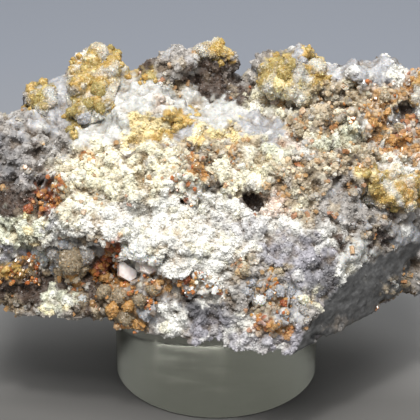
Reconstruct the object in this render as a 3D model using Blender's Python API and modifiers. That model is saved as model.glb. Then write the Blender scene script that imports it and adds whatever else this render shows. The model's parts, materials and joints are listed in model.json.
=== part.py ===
"""Vanadinite specimen: a broken block of crusted rock with golden balls and red crystals, on an acrylic cylinder.

The frame has +Z up, +X to the right of the display face and +Y away from it.
The origin is the centre of the cylinder's foot. Blender's lengths are metres; sizes here are written as so many MM.
"""

import math
import random

import bmesh
import bpy
from mathutils import Matrix, Vector, noise
from mathutils.bvhtree import BVHTree

MM = 0.001

# The clear cylinder and the gap that keeps the stone's solid off its top
STAND_DIAMETER = 31.75 * MM
STAND_HEIGHT = 16.0 * MM
STAND_EDGE = 0.3 * MM
STAND_SIDES = 60
SEAT_GAP = 0.3 * MM

# The display face leans back, so that it looks a little upwards
FACE_TILT = math.radians(28.0)
FACE_CENTRE = Vector((-1.0 * MM, 0.0, 27.7 * MM))

# Fineness of the rock's solid
ROCK_VOXEL = 0.7 * MM
HOLLOW_VOXEL = 0.5 * MM
EDGE_VOXEL = 0.35 * MM
ROCK_TRIANGLES = 4400

# The crust's own lumps, as a size across and a height
CRUST_LUMP = 4.2 * MM
CRUST_HEIGHT = 2.2 * MM
NODULE_LUMP = 2.2 * MM
NODULE_HEIGHT = 1.3 * MM
BROKEN_LUMP = 6.0 * MM
BROKEN_HEIGHT = 1.3 * MM

# The flat side where the block was broken off: three of its points in millimetres, and how uneven it is
BROKEN_SIDE = ((11.9, -23.5, 16.2), (24.1, -11.9, 16.4), (30.0, -5.6, 26.4))
SIDE_WAVE = 6.0 * MM
SIDE_HEIGHT = 0.5 * MM

# The gap that touching solids keep
TOUCH_GAP = 0.3 * MM

# The coat of small crystals that each cluster stands on: its thickness, and the depth and rim of its patch
COAT_THICKNESS = 0.8 * MM
ZONE_DEPTH = 4.5 * MM
ZONE_LOBE = 2.5 * MM

# How finely the crystals are drawn: balls above this radius are rounder, and the triangles for each ball or prism
FINE_BALL = 1.3 * MM
BALL_TRIANGLES = 42
PRISM_TRIANGLES = 25

# The block's corners in millimetres, by the part of the rock that they lie on
BLOCK_CORNERS = {
    "front foot": [(12.8, -24.6, 15.4), (0.0, -20.6, 16.8), (-10.0, -20.0, 17.4), (-17.4, -14.3, 18.4)],
    "left foot": [(-33.0, -13.8, 18.4), (-37.0, -8.0, 20.0), (-36.0, 12.0, 19.0)],
    "right foot": [(25.4, -12.6, 15.4), (35.0, 8.0, 20.0), (32.0, 14.0, 18.0)],
    "back foot": [(-28.0, 20.0, 18.0), (0.0, 22.0, 15.4), (22.0, 20.0, 15.4)],
    "front brow": [(-30.0, -7.0, 37.0), (-19.0, -10.0, 34.5), (-7.0, -11.5, 35.0), (6.6, -13.0, 31.0)],
    "front belly": [(-4.0, -17.0, 26.0), (5.0, -19.8, 21.5), (16.2, -19.6, 24.5), (19.4, -15.8, 27.0)],
    "shoulder": [(-33.0, -1.0, 39.5), (-13.0, -4.0, 38.0), (0.0, -5.0, 39.0), (13.0, -5.0, 39.0)],
    "right edge": [(31.2, -6.2, 26.6), (34.5, -0.6, 34.0), (25.0, -3.0, 38.0), (35.5, 4.0, 40.0)],
    "left end": [(-38.0, -2.0, 36.0), (-38.0, 5.0, 26.0), (-36.5, 8.0, 36.0)],
    "ridge": [(-24.0, 13.0, 40.0), (-10.0, 16.0, 42.0), (4.0, 16.0, 44.0), (18.0, 14.0, 45.0), (32.0, 11.0, 42.0)],
}

# Masses that stand proud of the block, in millimetres on the face: (across, up, out), (half sizes along the same)
RAISED = {
    "left knoll": ((-18.0, 16.5, -4.0), (5.6, 6.6, 6.0)),
    "left knoll's top": ((-16.6, 21.6, -4.5), (3.6, 3.6, 3.6)),
    "left knoll's flank": ((-24.4, 16.0, -3.0), (4.4, 3.4, 4.0)),
    "knoll's saddle": ((-10.5, 17.0, -3.0), (5.0, 4.0, 5.0)),
    "white slope": ((-9.0, 13.0, 2.5), (8.0, 4.0, 3.4)),
    "grey left shoulder": ((-29.5, 9.0, 5.0), (6.6, 6.0, 5.0)),
    "brown top ridge": ((-4.0, 20.4, -3.0), (7.0, 4.2, 4.5)),
    "back knobs": ((1.0, 23.4, -3.5), (3.4, 2.4, 3.0)),
    "top right pile": ((12.4, 20.4, -1.5), (6.8, 4.4, 4.5)),
    "right ridge": ((24.4, 18.6, -0.5), (7.2, 4.4, 4.5)),
    "far right knob": ((32.0, 17.4, -1.0), (3.4, 4.6, 4.0)),
    "crust bulge": ((-8.0, 2.6, 10.0), (9.0, 6.5, 4.8)),
    "right bulge": ((17.0, 5.0, 7.6), (9.0, 6.0, 4.8)),
    "right brow": ((19.0, 12.0, 4.0), (7.0, 4.0, 4.0)),
    "white lip": ((-4.6, -5.4, 13.2), (6.6, 2.8, 3.8)),
    "white ledge": ((-17.6, -2.0, 12.4), (7.0, 2.6, 3.2)),
    "left block": ((-27.6, -2.6, 9.4), (5.6, 3.4, 3.4)),
}

# Masses inside the hollows, which stay when the hollows are cut
BOSSES = {
    "hollow's boss": ((-19.8, -8.0, 6.8), (3.6, 3.8, 3.8)),
    "pale lobe": ((-20.4, -12.6, 7.6), (3.2, 2.3, 2.8)),
    "left hollow's floor": ((-28.5, -12.6, 5.6), (4.5, 2.4, 3.6)),
    "centre rib": ((-9.0, -12.8, 10.6), (3.6, 3.8, 2.6)),
    "plate crystal's foot": ((-11.2, -8.0, 9.8), (1.9, 1.9, 2.6)),
}

# Masses on the side where the block was broken off
OUTCROPS = {
    "far right foot": ((32.4, -8.6, -2.0), (4.0, 5.6, 4.4)),
    "back corner knob": ((28.6, -15.2, -1.0), (2.4, 1.9, 3.4)),
}

# Hollows in the face, given the same way
HOLLOWS = {
    "left hollow": ((-27.0, -9.2, 12.6), (8.4, 3.8, 6.4)),
    "hollow behind the boss": ((-19.5, -9.2, 13.8), (6.5, 4.8, 6.6)),
    "gap beside the boss": ((-14.8, -9.8, 10.5), (1.4, 4.4, 5.4)),
    "centre hollow": ((-10.6, -12.4, 14.6), (5.2, 6.4, 6.0)),
    "hole in the left shoulder": ((-24.3, 3.0, 11.6), (1.8, 2.8, 4.8)),
    "gap under the lip": ((-1.0, -11.2, 15.4), (4.4, 2.6, 3.4)),
    "front pit": ((8.8, -11.8, 15.8), (4.0, 3.8, 3.0)),
    "top hollow": ((-0.8, 20.4, 2.4), (6.0, 2.2, 5.0)),
    "small top hollow": ((4.6, 18.2, 3.4), (3.0, 1.5, 3.4)),
    "pit in the crust": ((6.8, 0.8, 13.6), (2.4, 1.4, 3.6)),
    "brow pit": ((-0.8, 6.9, 12.0), (1.6, 1.0, 3.2)),
    "right gap": ((28.6, 13.0, 4.6), (1.0, 4.4, 4.8)),
    "right hollow": ((24.6, 0.4, 10.4), (2.8, 1.7, 3.4)),
}

# Clusters of golden balls on the face: (across, up), (half width, half height), how many, (least, greatest radius)
GOLDEN_BALLS = {
    "golden_balls_left_knoll": ((-17.6, 18.8), (4.0, 5.2), 13, (1.0, 1.8)),
    "golden_balls_left_flank": ((-25.6, 16.4), (1.8, 1.5), 4, (0.9, 1.4)),
    "golden_balls_back_edge": ((0.6, 24.4), (2.4, 1.0), 5, (0.8, 1.2)),
    "golden_balls_top_pile": ((12.2, 19.8), (4.6, 2.8), 11, (1.0, 1.8)),
    "golden_balls_right_side": ((27.4, 3.2), (4.0, 3.0), 13, (0.8, 1.4)),
    "golden_balls_far_right": ((32.6, 17.4), (1.6, 4.0), 6, (0.9, 1.5)),
}

# Clusters of red crystals, given the same way, with the radii of the hexagonal prisms
RED_CRYSTALS = {
    "red_crystals_left_hole": ((-23.4, 2.4), (2.0, 3.2), 12, (0.4, 0.7)),
    "red_crystals_left_hollow": ((-28.6, -9.2), (3.6, 2.2), 14, (0.45, 0.75)),
    "red_crystals_centre_hollow": ((-11.2, -12.4), (4.2, 5.2), 26, (0.5, 0.85)),
    "red_crystals_under_lip": ((-2.0, -10.8), (3.2, 1.9), 11, (0.45, 0.7)),
    "red_crystals_front_pit": ((9.2, -14.0), (3.0, 3.8), 18, (0.45, 0.75)),
    "red_crystals_brow": ((-3.0, 4.2), (1.8, 3.4), 11, (0.4, 0.65)),
    "red_crystals_right_shoulder": ((24.0, 15.4), (4.4, 3.8), 22, (0.5, 0.9)),
}

# The pale tabular crystal at the end of the white lip: its place on the face, its size and the cluster beside it
PLATE_PLACE = (-12.0, -8.8)
PLATE_RADIUS = 1.95 * MM
PLATE_THICKNESS = 1.5 * MM
PLATE_NEIGHBOUR = "red_crystals_centre_hollow"


def on_face(across, up, out):
    """A point of the display face in metres, given in millimetres across, up and out from the face's middle."""
    right = Vector((1.0, 0.0, 0.0))
    rise = Vector((0.0, math.sin(FACE_TILT), math.cos(FACE_TILT)))
    front = Vector((0.0, -math.cos(FACE_TILT), math.sin(FACE_TILT)))
    return FACE_CENTRE + (right * across + rise * up + front * out) * MM


def clear_scene():
    for leftover in list(bpy.data.objects):
        bpy.data.objects.remove(leftover)


def collection(name):
    made = bpy.data.collections.new(name)
    bpy.context.scene.collection.children.link(made)
    return made


def plain_material(name, colour, roughness, metallic=0.0):
    made = bpy.data.materials.new(name)
    made.use_nodes = True
    shader = made.node_tree.nodes["Principled BSDF"]
    shader.inputs["Base Color"].default_value = (*colour, 1.0)
    shader.inputs["Roughness"].default_value = roughness
    shader.inputs["Metallic"].default_value = metallic
    return made


def object_from(bm, name, group):
    mesh = bpy.data.meshes.new(name)
    bm.to_mesh(mesh)
    bm.free()
    made = bpy.data.objects.new(name, mesh)
    group.objects.link(made)
    return made


def helper(obj):
    """Marks a cutter or guide, which isn't part of the specimen."""
    obj.hide_render = True
    obj.display_type = "WIRE"
    return obj


def frozen(obj, name, group):
    """The object as its modifiers make it, as a plain mesh object that takes its place."""
    graph = bpy.context.evaluated_depsgraph_get()
    mesh = bpy.data.meshes.new_from_object(obj.evaluated_get(graph))
    mesh.name = name
    made = bpy.data.objects.new(name, mesh)
    made.matrix_world = obj.matrix_world
    group.objects.link(made)
    bpy.data.objects.remove(obj)
    return made


def add_remesh(obj, voxel):
    remesh = obj.modifiers.new("Fuse", "REMESH")
    remesh.mode = "VOXEL"
    remesh.voxel_size = voxel


def add_boolean(obj, operation, other, touches_itself=False):
    boolean = obj.modifiers.new(operation.capitalize(), "BOOLEAN")
    boolean.operation = operation
    boolean.object = other
    boolean.use_self = touches_itself


def face_matrix(centre, half_sizes):
    """Places a unit ball as an ellipsoid whose axes run across, up and out of the display face."""
    origin = on_face(*centre)
    axes = [on_face(*end) - on_face(0, 0, 0) for end in ((1, 0, 0), (0, 1, 0), (0, 0, 1))]
    columns = [axis * size for axis, size in zip(axes, half_sizes)]
    placed = Matrix.Identity(4)
    for i, column in enumerate([*columns, origin]):
        placed.col[i][:3] = column
    return placed


def add_masses(bm, masses, detail):
    for centre, half_sizes in masses.values():
        bmesh.ops.create_icosphere(bm, subdivisions=detail, radius=1.0, matrix=face_matrix(centre, half_sizes))


def fused_masses(name, masses, voxel, group):
    bm = bmesh.new()
    add_masses(bm, masses, detail=3)
    obj = object_from(bm, "rough " + name, group)
    add_remesh(obj, voxel)
    return helper(frozen(obj, name, group))


def rough_block(group):
    """The convex hull of the block's corners with the raised masses fused to it."""
    bm = bmesh.new()
    for corners in BLOCK_CORNERS.values():
        for corner in corners:
            bm.verts.new(Vector(corner) * MM)
    bmesh.ops.convex_hull(bm, input=bm.verts[:])
    add_masses(bm, RAISED, detail=4)
    block = object_from(bm, "rough block", group)
    add_remesh(block, ROCK_VOXEL)
    return frozen(block, "fused block", group)


def broken_side_cutter(group):
    """A large box on the outer side of the plane where the block was broken off, its near face slightly uneven."""
    first, second, third = (Vector(point) * MM for point in BROKEN_SIDE)
    normal = (second - first).cross(third - first).normalized()
    depth = 40.0 * MM
    turn = normal.to_track_quat("Z", "Y").to_matrix().to_4x4()
    place = Matrix.Translation(second + normal * depth / 2) @ turn
    bm = bmesh.new()
    bmesh.ops.create_cube(bm, size=1.0, matrix=place @ Matrix.Diagonal((2 * depth, 2 * depth, depth, 1.0)))
    bmesh.ops.subdivide_edges(bm, edges=bm.edges[:], cuts=24, use_grid_fill=True)
    for vertex in bm.verts:
        vertex.co += normal * SIDE_HEIGHT * noise.noise(vertex.co / SIDE_WAVE)
    return helper(object_from(bm, "broken side", group))


def cap_height(point, size):
    """A height from 0 to 1 like packed round lumps of that size."""
    nearest = noise.voronoi(point / size)[0][0]
    return max(0.0, 1.0 - nearest * nearest * 1.6)


def relief(point, normal):
    """How far the rock's surface stands out at a point: lumpy where the crust grew, flatter where it broke."""
    facing = normal.dot(on_face(0, 0, 1) - on_face(0, 0, 0)) / MM
    crust = min(1.0, max(0.0, facing * 2.0 + 0.5))
    lumps = CRUST_HEIGHT * (cap_height(point, CRUST_LUMP) - 0.5)
    nodules = NODULE_HEIGHT * (cap_height(point, NODULE_LUMP) - 0.5)
    broken = BROKEN_HEIGHT * noise.fractal(point / BROKEN_LUMP, 0.9, 2.1, 3)
    return crust * (lumps + nodules) + (1.0 - 0.7 * crust) * broken


def roughen(obj):
    vertices = obj.data.vertices
    moved = [v.co + v.normal * relief(v.co, v.normal) for v in vertices]
    for vertex, place in zip(vertices, moved):
        vertex.co = place


def seat_cutter(group):
    """A large box up to the level where the cylinder carries the stone, which keeps the underside off it."""
    seat = STAND_HEIGHT + SEAT_GAP
    bm = bmesh.new()
    size = Matrix.Diagonal((0.2, 0.2, seat, 1.0))
    bmesh.ops.create_cube(bm, size=1.0, matrix=Matrix.Translation((0.0, 0.0, seat / 2)) @ size)
    return helper(object_from(bm, "seat", group))


def thinned(obj, triangles, weights=None):
    """Adds the collapse that brings a mesh down to about that many triangles, first where the weights are high."""
    thin = obj.modifiers.new("Fewer faces", "DECIMATE")
    now = sum(len(polygon.vertices) - 2 for polygon in obj.data.polygons)
    thin.ratio = min(1.0, triangles / now)
    if weights:
        thin.vertex_group = weights


def weigh_back(obj):
    """Marks the stone's back and underside, where fewer triangles do."""
    group = obj.vertex_groups.new(name="behind")
    front = (on_face(0, 0, 1) - on_face(0, 0, 0)) / MM
    for vertex in obj.data.vertices:
        behind = max(0.0, -vertex.normal.dot(front))
        group.add([vertex.index], 0.5 + 0.5 * min(1.0, behind * 2.0), "REPLACE")
    return group.name


def make_rock(parts, helpers, materials):
    block = rough_block(helpers)
    add_boolean(block, "DIFFERENCE", fused_masses("hollows", HOLLOWS, HOLLOW_VOXEL, helpers))
    add_boolean(block, "UNION", fused_masses("bosses", BOSSES, HOLLOW_VOXEL, helpers))
    add_remesh(block, ROCK_VOXEL)
    carved = frozen(block, "carved block", helpers)
    roughen(carved)
    add_remesh(carved, ROCK_VOXEL)
    add_boolean(carved, "DIFFERENCE", broken_side_cutter(helpers))
    outcrops = fused_masses("outcrops", OUTCROPS, HOLLOW_VOXEL, helpers)
    roughen(outcrops)
    add_remesh(outcrops, HOLLOW_VOXEL)
    add_boolean(carved, "UNION", outcrops)
    add_boolean(carved, "DIFFERENCE", seat_cutter(helpers))
    add_remesh(carved, EDGE_VOXEL)
    split = frozen(carved, "split block", helpers)
    thinned(split, ROCK_TRIANGLES, weigh_back(split))
    rock = frozen(split, "matrix_rock", parts)
    rock.data.materials.clear()
    rock.data.materials.append(materials["pale crust"])
    return rock


def swollen(rock, thickness, name, group):
    """A helper like the rock but that much larger all round."""
    copy = bpy.data.objects.new(name, rock.data.copy())
    group.objects.link(copy)
    swell = copy.modifiers.new("Swell", "DISPLACE")
    swell.strength = thickness
    swell.mid_level = 0.0
    return helper(frozen(copy, name, group))


def spots_on(tree, centre, half_sizes, count, seed):
    """Points spread over an oval of the display face, dropped onto the rock along the face's own direction."""
    draw = random.Random(seed)
    inward = on_face(0, 0, 0) - on_face(0, 0, 1)
    found = []
    for i in range(count):
        reach = math.sqrt((i + 0.5) / count)
        turn = i * math.pi * (3.0 - math.sqrt(5.0)) + draw.uniform(-0.3, 0.3)
        across = centre[0] + half_sizes[0] * reach * math.cos(turn)
        up = centre[1] + half_sizes[1] * reach * math.sin(turn)
        place, normal, _, _ = tree.ray_cast(on_face(across, up, 60), inward)
        if place is not None:
            found.append((place, normal))
    return found


def add_ball(bm, place, normal, radius, draw):
    """A ball of fine crystals, half grown into what is under it. The smallest are left coarser."""
    turn = Matrix.Rotation(draw.uniform(0.0, math.pi), 4, normal)
    centre = Matrix.Translation(place + normal * radius * 0.5)
    detail = 2 if radius > FINE_BALL else 1
    bmesh.ops.create_icosphere(bm, subdivisions=detail, radius=radius, matrix=centre @ turn)


def add_prism(bm, place, normal, radius, draw):
    """A stubby hexagonal crystal that leans a little off the surface's normal."""
    lean = Vector((draw.uniform(-1, 1), draw.uniform(-1, 1), draw.uniform(-1, 1))) * 0.7
    axis = (normal + lean).normalized()
    length = radius * draw.uniform(2.8, 3.8)
    turn = axis.to_track_quat("Z", "Y").to_matrix().to_4x4() @ Matrix.Rotation(draw.uniform(0.0, 1.0), 4, "Z")
    centre = Matrix.Translation(place + axis * length * 0.3)
    bmesh.ops.create_cone(bm, cap_ends=True, segments=6, radius1=radius, radius2=radius, depth=length,
                          matrix=centre @ turn)


def touching_faces(start, waiting):
    """The faces of one closed body, walked over the edges that exactly two faces share."""
    body, rim = {start}, [start]
    while rim:
        for edge in rim.pop().edges:
            if len(edge.link_faces) != 2:
                continue
            for face in edge.link_faces:
                if face in waiting:
                    waiting.remove(face)
                    body.add(face)
                    rim.append(face)
    return body


def largest_piece(obj):
    """Leaves only the largest connected body of a mesh, and drops the crumbs that a cut may leave."""
    bm = bmesh.new()
    bm.from_mesh(obj.data)
    waiting, bodies = set(bm.faces), []
    while waiting:
        bodies.append(touching_faces(waiting.pop(), waiting))
    largest = max(bodies, key=len)
    bmesh.ops.delete(bm, geom=[face for face in bm.faces if face not in largest], context="FACES")
    bm.to_mesh(obj.data)
    bm.free()


def drop_flaps(obj):
    """Takes off the stray triangles that thinning may leave hanging on an edge."""
    bm = bmesh.new()
    bm.from_mesh(obj.data)
    flaps = [face for face in bm.faces if any(len(edge.link_faces) == 1 for edge in face.edges)]
    bmesh.ops.delete(bm, geom=flaps, context="FACES")
    bmesh.ops.delete(bm, geom=[edge for edge in bm.edges if not edge.link_faces], context="EDGES")
    bm.to_mesh(obj.data)
    bm.free()


def ragged_zone(middle, half_sizes, name, group):
    """An oval patch of the face with an uneven rim, which the cluster's coat fills."""
    bm = bmesh.new()
    size = Matrix.Diagonal((half_sizes[0] * MM, half_sizes[1] * MM, ZONE_DEPTH, 1.0))
    lean = Matrix.Rotation(math.pi / 2 - FACE_TILT, 4, "X")
    bmesh.ops.create_icosphere(bm, subdivisions=3, radius=1.0, matrix=Matrix.Translation(middle) @ lean @ size)
    for vertex in bm.verts:
        reach = 1.0 + 0.45 * noise.noise(vertex.co / ZONE_LOBE)
        vertex.co = middle + (vertex.co - middle) * reach
    return object_from(bm, name, group)


def make_cluster(name, spec, kind, rock_shapes, groups):
    """A coat over the rock with crystals standing on it, cut clear of the rock's surface."""
    centre, half_sizes, count, radii = spec
    add_crystal, material, triangles = kind
    parts, helpers = groups
    draw = random.Random(name)
    spots = spots_on(rock_shapes["tree"], centre, half_sizes, count, name)
    crystals = bmesh.new()
    for place, normal in spots:
        add_crystal(crystals, place, normal, draw.uniform(*radii) * MM, draw)
    grown = helper(object_from(crystals, name + " crystals", helpers))
    middle = sum((place for place, _ in spots), Vector()) / len(spots)
    coat = ragged_zone(middle, half_sizes, name + " coat", helpers)
    add_boolean(coat, "INTERSECT", rock_shapes["coat"], touches_itself=True)
    add_boolean(coat, "UNION", grown, touches_itself=True)
    if name == PLATE_NEIGHBOUR:
        add_boolean(coat, "DIFFERENCE", rock_shapes["plate"])
    cut = cut_clear(coat, name + " cut", rock_shapes, helpers)
    thinned(cut, triangles * len(spots))
    cluster = frozen(cut, name, parts)
    drop_flaps(cluster)
    cluster.data.materials.clear()
    cluster.data.materials.append(material)
    return cluster


def cut_clear(grown, name, rock_shapes, group):
    """What stands outside the rock of something that grew on it, with the gap that touching solids keep."""
    add_boolean(grown, "DIFFERENCE", rock_shapes["clear"], touches_itself=True)
    cut = frozen(grown, name, group)
    largest_piece(cut)
    return cut


def whole_plate(tree, name, gap, group):
    """The flat six-sided crystal at the end of the lip, its broad side to the viewer, larger by a gap all round."""
    inward = on_face(0, 0, 0) - on_face(0, 0, 1)
    place, _, _, _ = tree.ray_cast(on_face(*PLATE_PLACE, 60), inward)
    bm = bmesh.new()
    lean = Matrix.Rotation(math.pi / 2 - FACE_TILT, 4, "X") @ Matrix.Rotation(math.radians(8.0), 4, "Y")
    middle = Matrix.Translation(place - inward.normalized() * PLATE_THICKNESS * 0.3)
    bmesh.ops.create_cone(bm, cap_ends=True, segments=6, radius1=PLATE_RADIUS + gap, radius2=PLATE_RADIUS * 0.9 + gap,
                          depth=PLATE_THICKNESS + 2 * gap, matrix=middle @ lean)
    return helper(object_from(bm, name, group))


def make_plate(rock_shapes, groups, material):
    parts, helpers = groups
    plate = whole_plate(rock_shapes["tree"], "whole plate", 0.0, helpers)
    plate = cut_clear(plate, "pale_plate_crystal", rock_shapes, parts)
    plate.data.materials.clear()
    plate.data.materials.append(material)
    return plate


def make_stand(parts, materials):
    bm = bmesh.new()
    middle = Matrix.Translation((0.0, 0.0, STAND_HEIGHT / 2))
    radius = STAND_DIAMETER / 2
    bmesh.ops.create_cone(bm, cap_ends=True, segments=STAND_SIDES, radius1=radius, radius2=radius,
                          depth=STAND_HEIGHT, matrix=middle)
    stand = object_from(bm, "acrylic_stand", parts)
    edge = stand.modifiers.new("Eased edge", "BEVEL")
    edge.width = STAND_EDGE
    edge.segments = 1
    stand.data.materials.append(materials["clear acrylic"])
    return stand


def main():
    clear_scene()
    parts = collection("vanadinite specimen")
    helpers = collection("helpers")
    materials = {
        "pale crust": plain_material("pale crust", (0.72, 0.70, 0.64), 0.85),
        "golden balls": plain_material("golden balls", (0.62, 0.44, 0.08), 0.35),
        "red crystals": plain_material("red crystals", (0.55, 0.14, 0.03), 0.25),
        "pale plate": plain_material("pale plate", (0.80, 0.70, 0.66), 0.3),
        "clear acrylic": plain_material("clear acrylic", (0.86, 0.88, 0.86), 0.05),
    }
    rock = make_rock(parts, helpers, materials)
    tree = BVHTree.FromObject(rock, bpy.context.evaluated_depsgraph_get())
    rock_shapes = {
        "tree": tree,
        "clear": swollen(rock, TOUCH_GAP, "rock's clearance", helpers),
        "coat": swollen(rock, COAT_THICKNESS, "rock's coat", helpers),
        "plate": whole_plate(tree, "plate's clearance", TOUCH_GAP, helpers),
    }
    groups = (parts, helpers)
    for name, spec in GOLDEN_BALLS.items():
        make_cluster(name, spec, (add_ball, materials["golden balls"], BALL_TRIANGLES), rock_shapes, groups)
    for name, spec in RED_CRYSTALS.items():
        make_cluster(name, spec, (add_prism, materials["red crystals"], PRISM_TRIANGLES), rock_shapes, groups)
    make_plate(rock_shapes, groups, materials["pale plate"])
    make_stand(parts, materials)


main()
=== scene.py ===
"""Looks of the vanadinite specimen: its crust, crystals and stand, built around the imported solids.

Lengths are metres and written as so many MM. Places on the display face are given by the pixel where the
camera sees them, in a picture 420 pixels wide and high.
"""

import json
import math

import bmesh
import bpy
import numpy as np
from bpy.props import FloatProperty, FloatVectorProperty, IntProperty, PointerProperty
from mathutils import Matrix, Vector, noise
from mathutils.bvhtree import BVHTree

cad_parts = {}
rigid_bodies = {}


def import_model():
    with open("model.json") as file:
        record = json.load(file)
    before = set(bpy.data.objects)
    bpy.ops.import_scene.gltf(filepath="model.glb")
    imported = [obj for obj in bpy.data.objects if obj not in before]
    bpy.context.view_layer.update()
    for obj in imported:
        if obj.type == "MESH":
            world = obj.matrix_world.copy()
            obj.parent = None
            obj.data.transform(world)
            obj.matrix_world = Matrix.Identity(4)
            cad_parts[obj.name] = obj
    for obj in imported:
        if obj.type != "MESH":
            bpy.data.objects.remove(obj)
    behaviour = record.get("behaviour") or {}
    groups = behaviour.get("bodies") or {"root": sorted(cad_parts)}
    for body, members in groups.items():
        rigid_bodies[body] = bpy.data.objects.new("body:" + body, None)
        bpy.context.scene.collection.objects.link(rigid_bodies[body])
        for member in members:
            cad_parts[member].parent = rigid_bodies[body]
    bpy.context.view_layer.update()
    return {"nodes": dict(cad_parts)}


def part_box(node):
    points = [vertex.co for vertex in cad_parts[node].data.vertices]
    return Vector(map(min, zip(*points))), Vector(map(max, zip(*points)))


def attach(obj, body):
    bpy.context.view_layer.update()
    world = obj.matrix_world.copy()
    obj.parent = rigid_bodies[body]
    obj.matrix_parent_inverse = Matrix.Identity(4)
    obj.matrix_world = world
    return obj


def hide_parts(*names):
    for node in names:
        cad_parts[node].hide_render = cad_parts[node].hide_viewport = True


bl_info = {
    "name": "Vanadinite specimen",
    "version": (1, 0, 0),
    "blender": (4, 5, 0),
    "location": "3D View > Sidebar > Specimen",
    "description": "Builds the crust, crystals, stand and studio of a vanadinite specimen around its solids",
    "category": "Add Mesh",
}

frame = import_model()

MM = 0.001

# The camera looks down on the display face from the front
VIEW_TILT = math.radians(28.0)
TO_CAMERA = (0.0, -math.cos(VIEW_TILT), math.sin(VIEW_TILT))
TARGET = Vector((-0.001, 0.0, 0.0277))
CAMERA_DISTANCE = 0.330
PIXELS_PER_MM = 6.52
PICTURE_MIDDLE = 210.0

STAND_NODE = "acrylic_stand"
ROCK_NODE = "matrix_rock"
PLATE_NODE = "pale_plate_crystal"
GOLDEN_NODES = [name for name in sorted(frame["nodes"]) if name.startswith("golden_balls")]
RED_NODES = [name for name in sorted(frame["nodes"]) if name.startswith("red_crystals")]

# Which way the broken side faces, and what stretches noise into streaks that run along it
BROKEN_FACING = (0.687, -0.724, 0.05)
STREAK_SIZES = np.array((3.2, 0.42, 1.0)) * MM
STREAK_AXES = np.array(((0.71, 0.66, 0.25), (-0.15, -0.20, 0.97), BROKEN_FACING)).T / STREAK_SIZES

# The crust hangs no lower than this, just above the stand
LOWEST_CRUST = 16.1 * MM

# The colours of the clear crystals, as light values
AMBER = (0.58, 0.31, 0.10)
RED = (0.46, 0.11, 0.03)

# The share of each cluster's crystals that are red, the rest being like the crust around them
RED_SHARES = {
    "red_crystals_left_hole": 0.55,
    "red_crystals_left_hollow": 0.40,
    "red_crystals_centre_hollow": 0.50,
    "red_crystals_under_lip": 0.30,
    "red_crystals_front_pit": 0.35,
    "red_crystals_brow": 0.12,
    "red_crystals_right_shoulder": 0.12,
}

# Each mineral, by its colour's property, and its relief: lumps, knobs, grain and waves, in millimetres
RELIEF = {
    "chalk": (0.50, 0.30, 0.22, 0.2),
    "cream": (0.55, 0.36, 0.24, 0.2),
    "green_cream": (0.50, 0.30, 0.20, 0.2),
    "quartz": (0.45, 0.10, 0.04, 0.2),
    "milk": (0.45, 0.12, 0.06, 0.2),
    "grey_sugar": (0.45, 0.40, 0.22, 0.2),
    "lilac": (0.40, 0.26, 0.16, 0.3),
    "tan": (0.50, 0.34, 0.24, 0.2),
    "pink": (0.40, 0.24, 0.14, 0.2),
    "golden": (0.55, 0.30, 0.06, 0.2),
    "olive": (0.55, 0.30, 0.06, 0.2),
    "powder": (0.35, 0.30, 0.20, 0.1),
    "orange": (0.45, 0.30, 0.18, 0.2),
    "dusk": (0.35, 0.26, 0.16, 0.3),
    "umber": (0.85, 0.18, 0.18, 0.3),
    "rust": (0.40, 0.36, 0.12, 0.2),
    "brown": (0.50, 0.20, 0.14, 0.3),
    "slate": (0.00, 0.05, 0.05, 0.2),
    "matrix": (0.10, 0.12, 0.12, 0.7),
}
MINERALS = list(RELIEF)

# How pocked with small holes the crust is, from 0 to 1
POCKS = {
    "cream": 0.9,
    "green_cream": 0.6,
    "grey_sugar": 1.0,
    "tan": 1.0,
    "pink": 0.7,
    "orange": 0.7,
    "brown": 0.8,
    "chalk": 0.35,
    "powder": 0.5,
    "rust": 0.6,
    "lilac": 0.5,
    "umber": 0.7,
    "dusk": 0.4,
}

# What the knobs of a mineral's crust are now and then instead of it
ACCENTS = {
    "chalk": ("chalk", "cream"),
    "cream": ("chalk", "tan"),
    "green_cream": ("chalk", "powder"),
    "quartz": ("quartz", "chalk"),
    "milk": ("milk", "chalk"),
    "grey_sugar": ("quartz", "tan"),
    "lilac": ("grey_sugar", "chalk"),
    "tan": ("cream", "grey_sugar"),
    "pink": ("chalk", "tan"),
    "golden": ("olive", "powder"),
    "olive": ("golden", "quartz"),
    "powder": ("cream", "golden"),
    "orange": ("tan", "milk"),
    "dusk": ("dusk", "lilac"),
    "umber": ("tan", "brown"),
    "rust": ("orange", "brown"),
    "brown": ("brown", "umber"),
    "slate": ("slate", "slate"),
    "matrix": ("matrix", "grey_sugar"),
}

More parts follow.
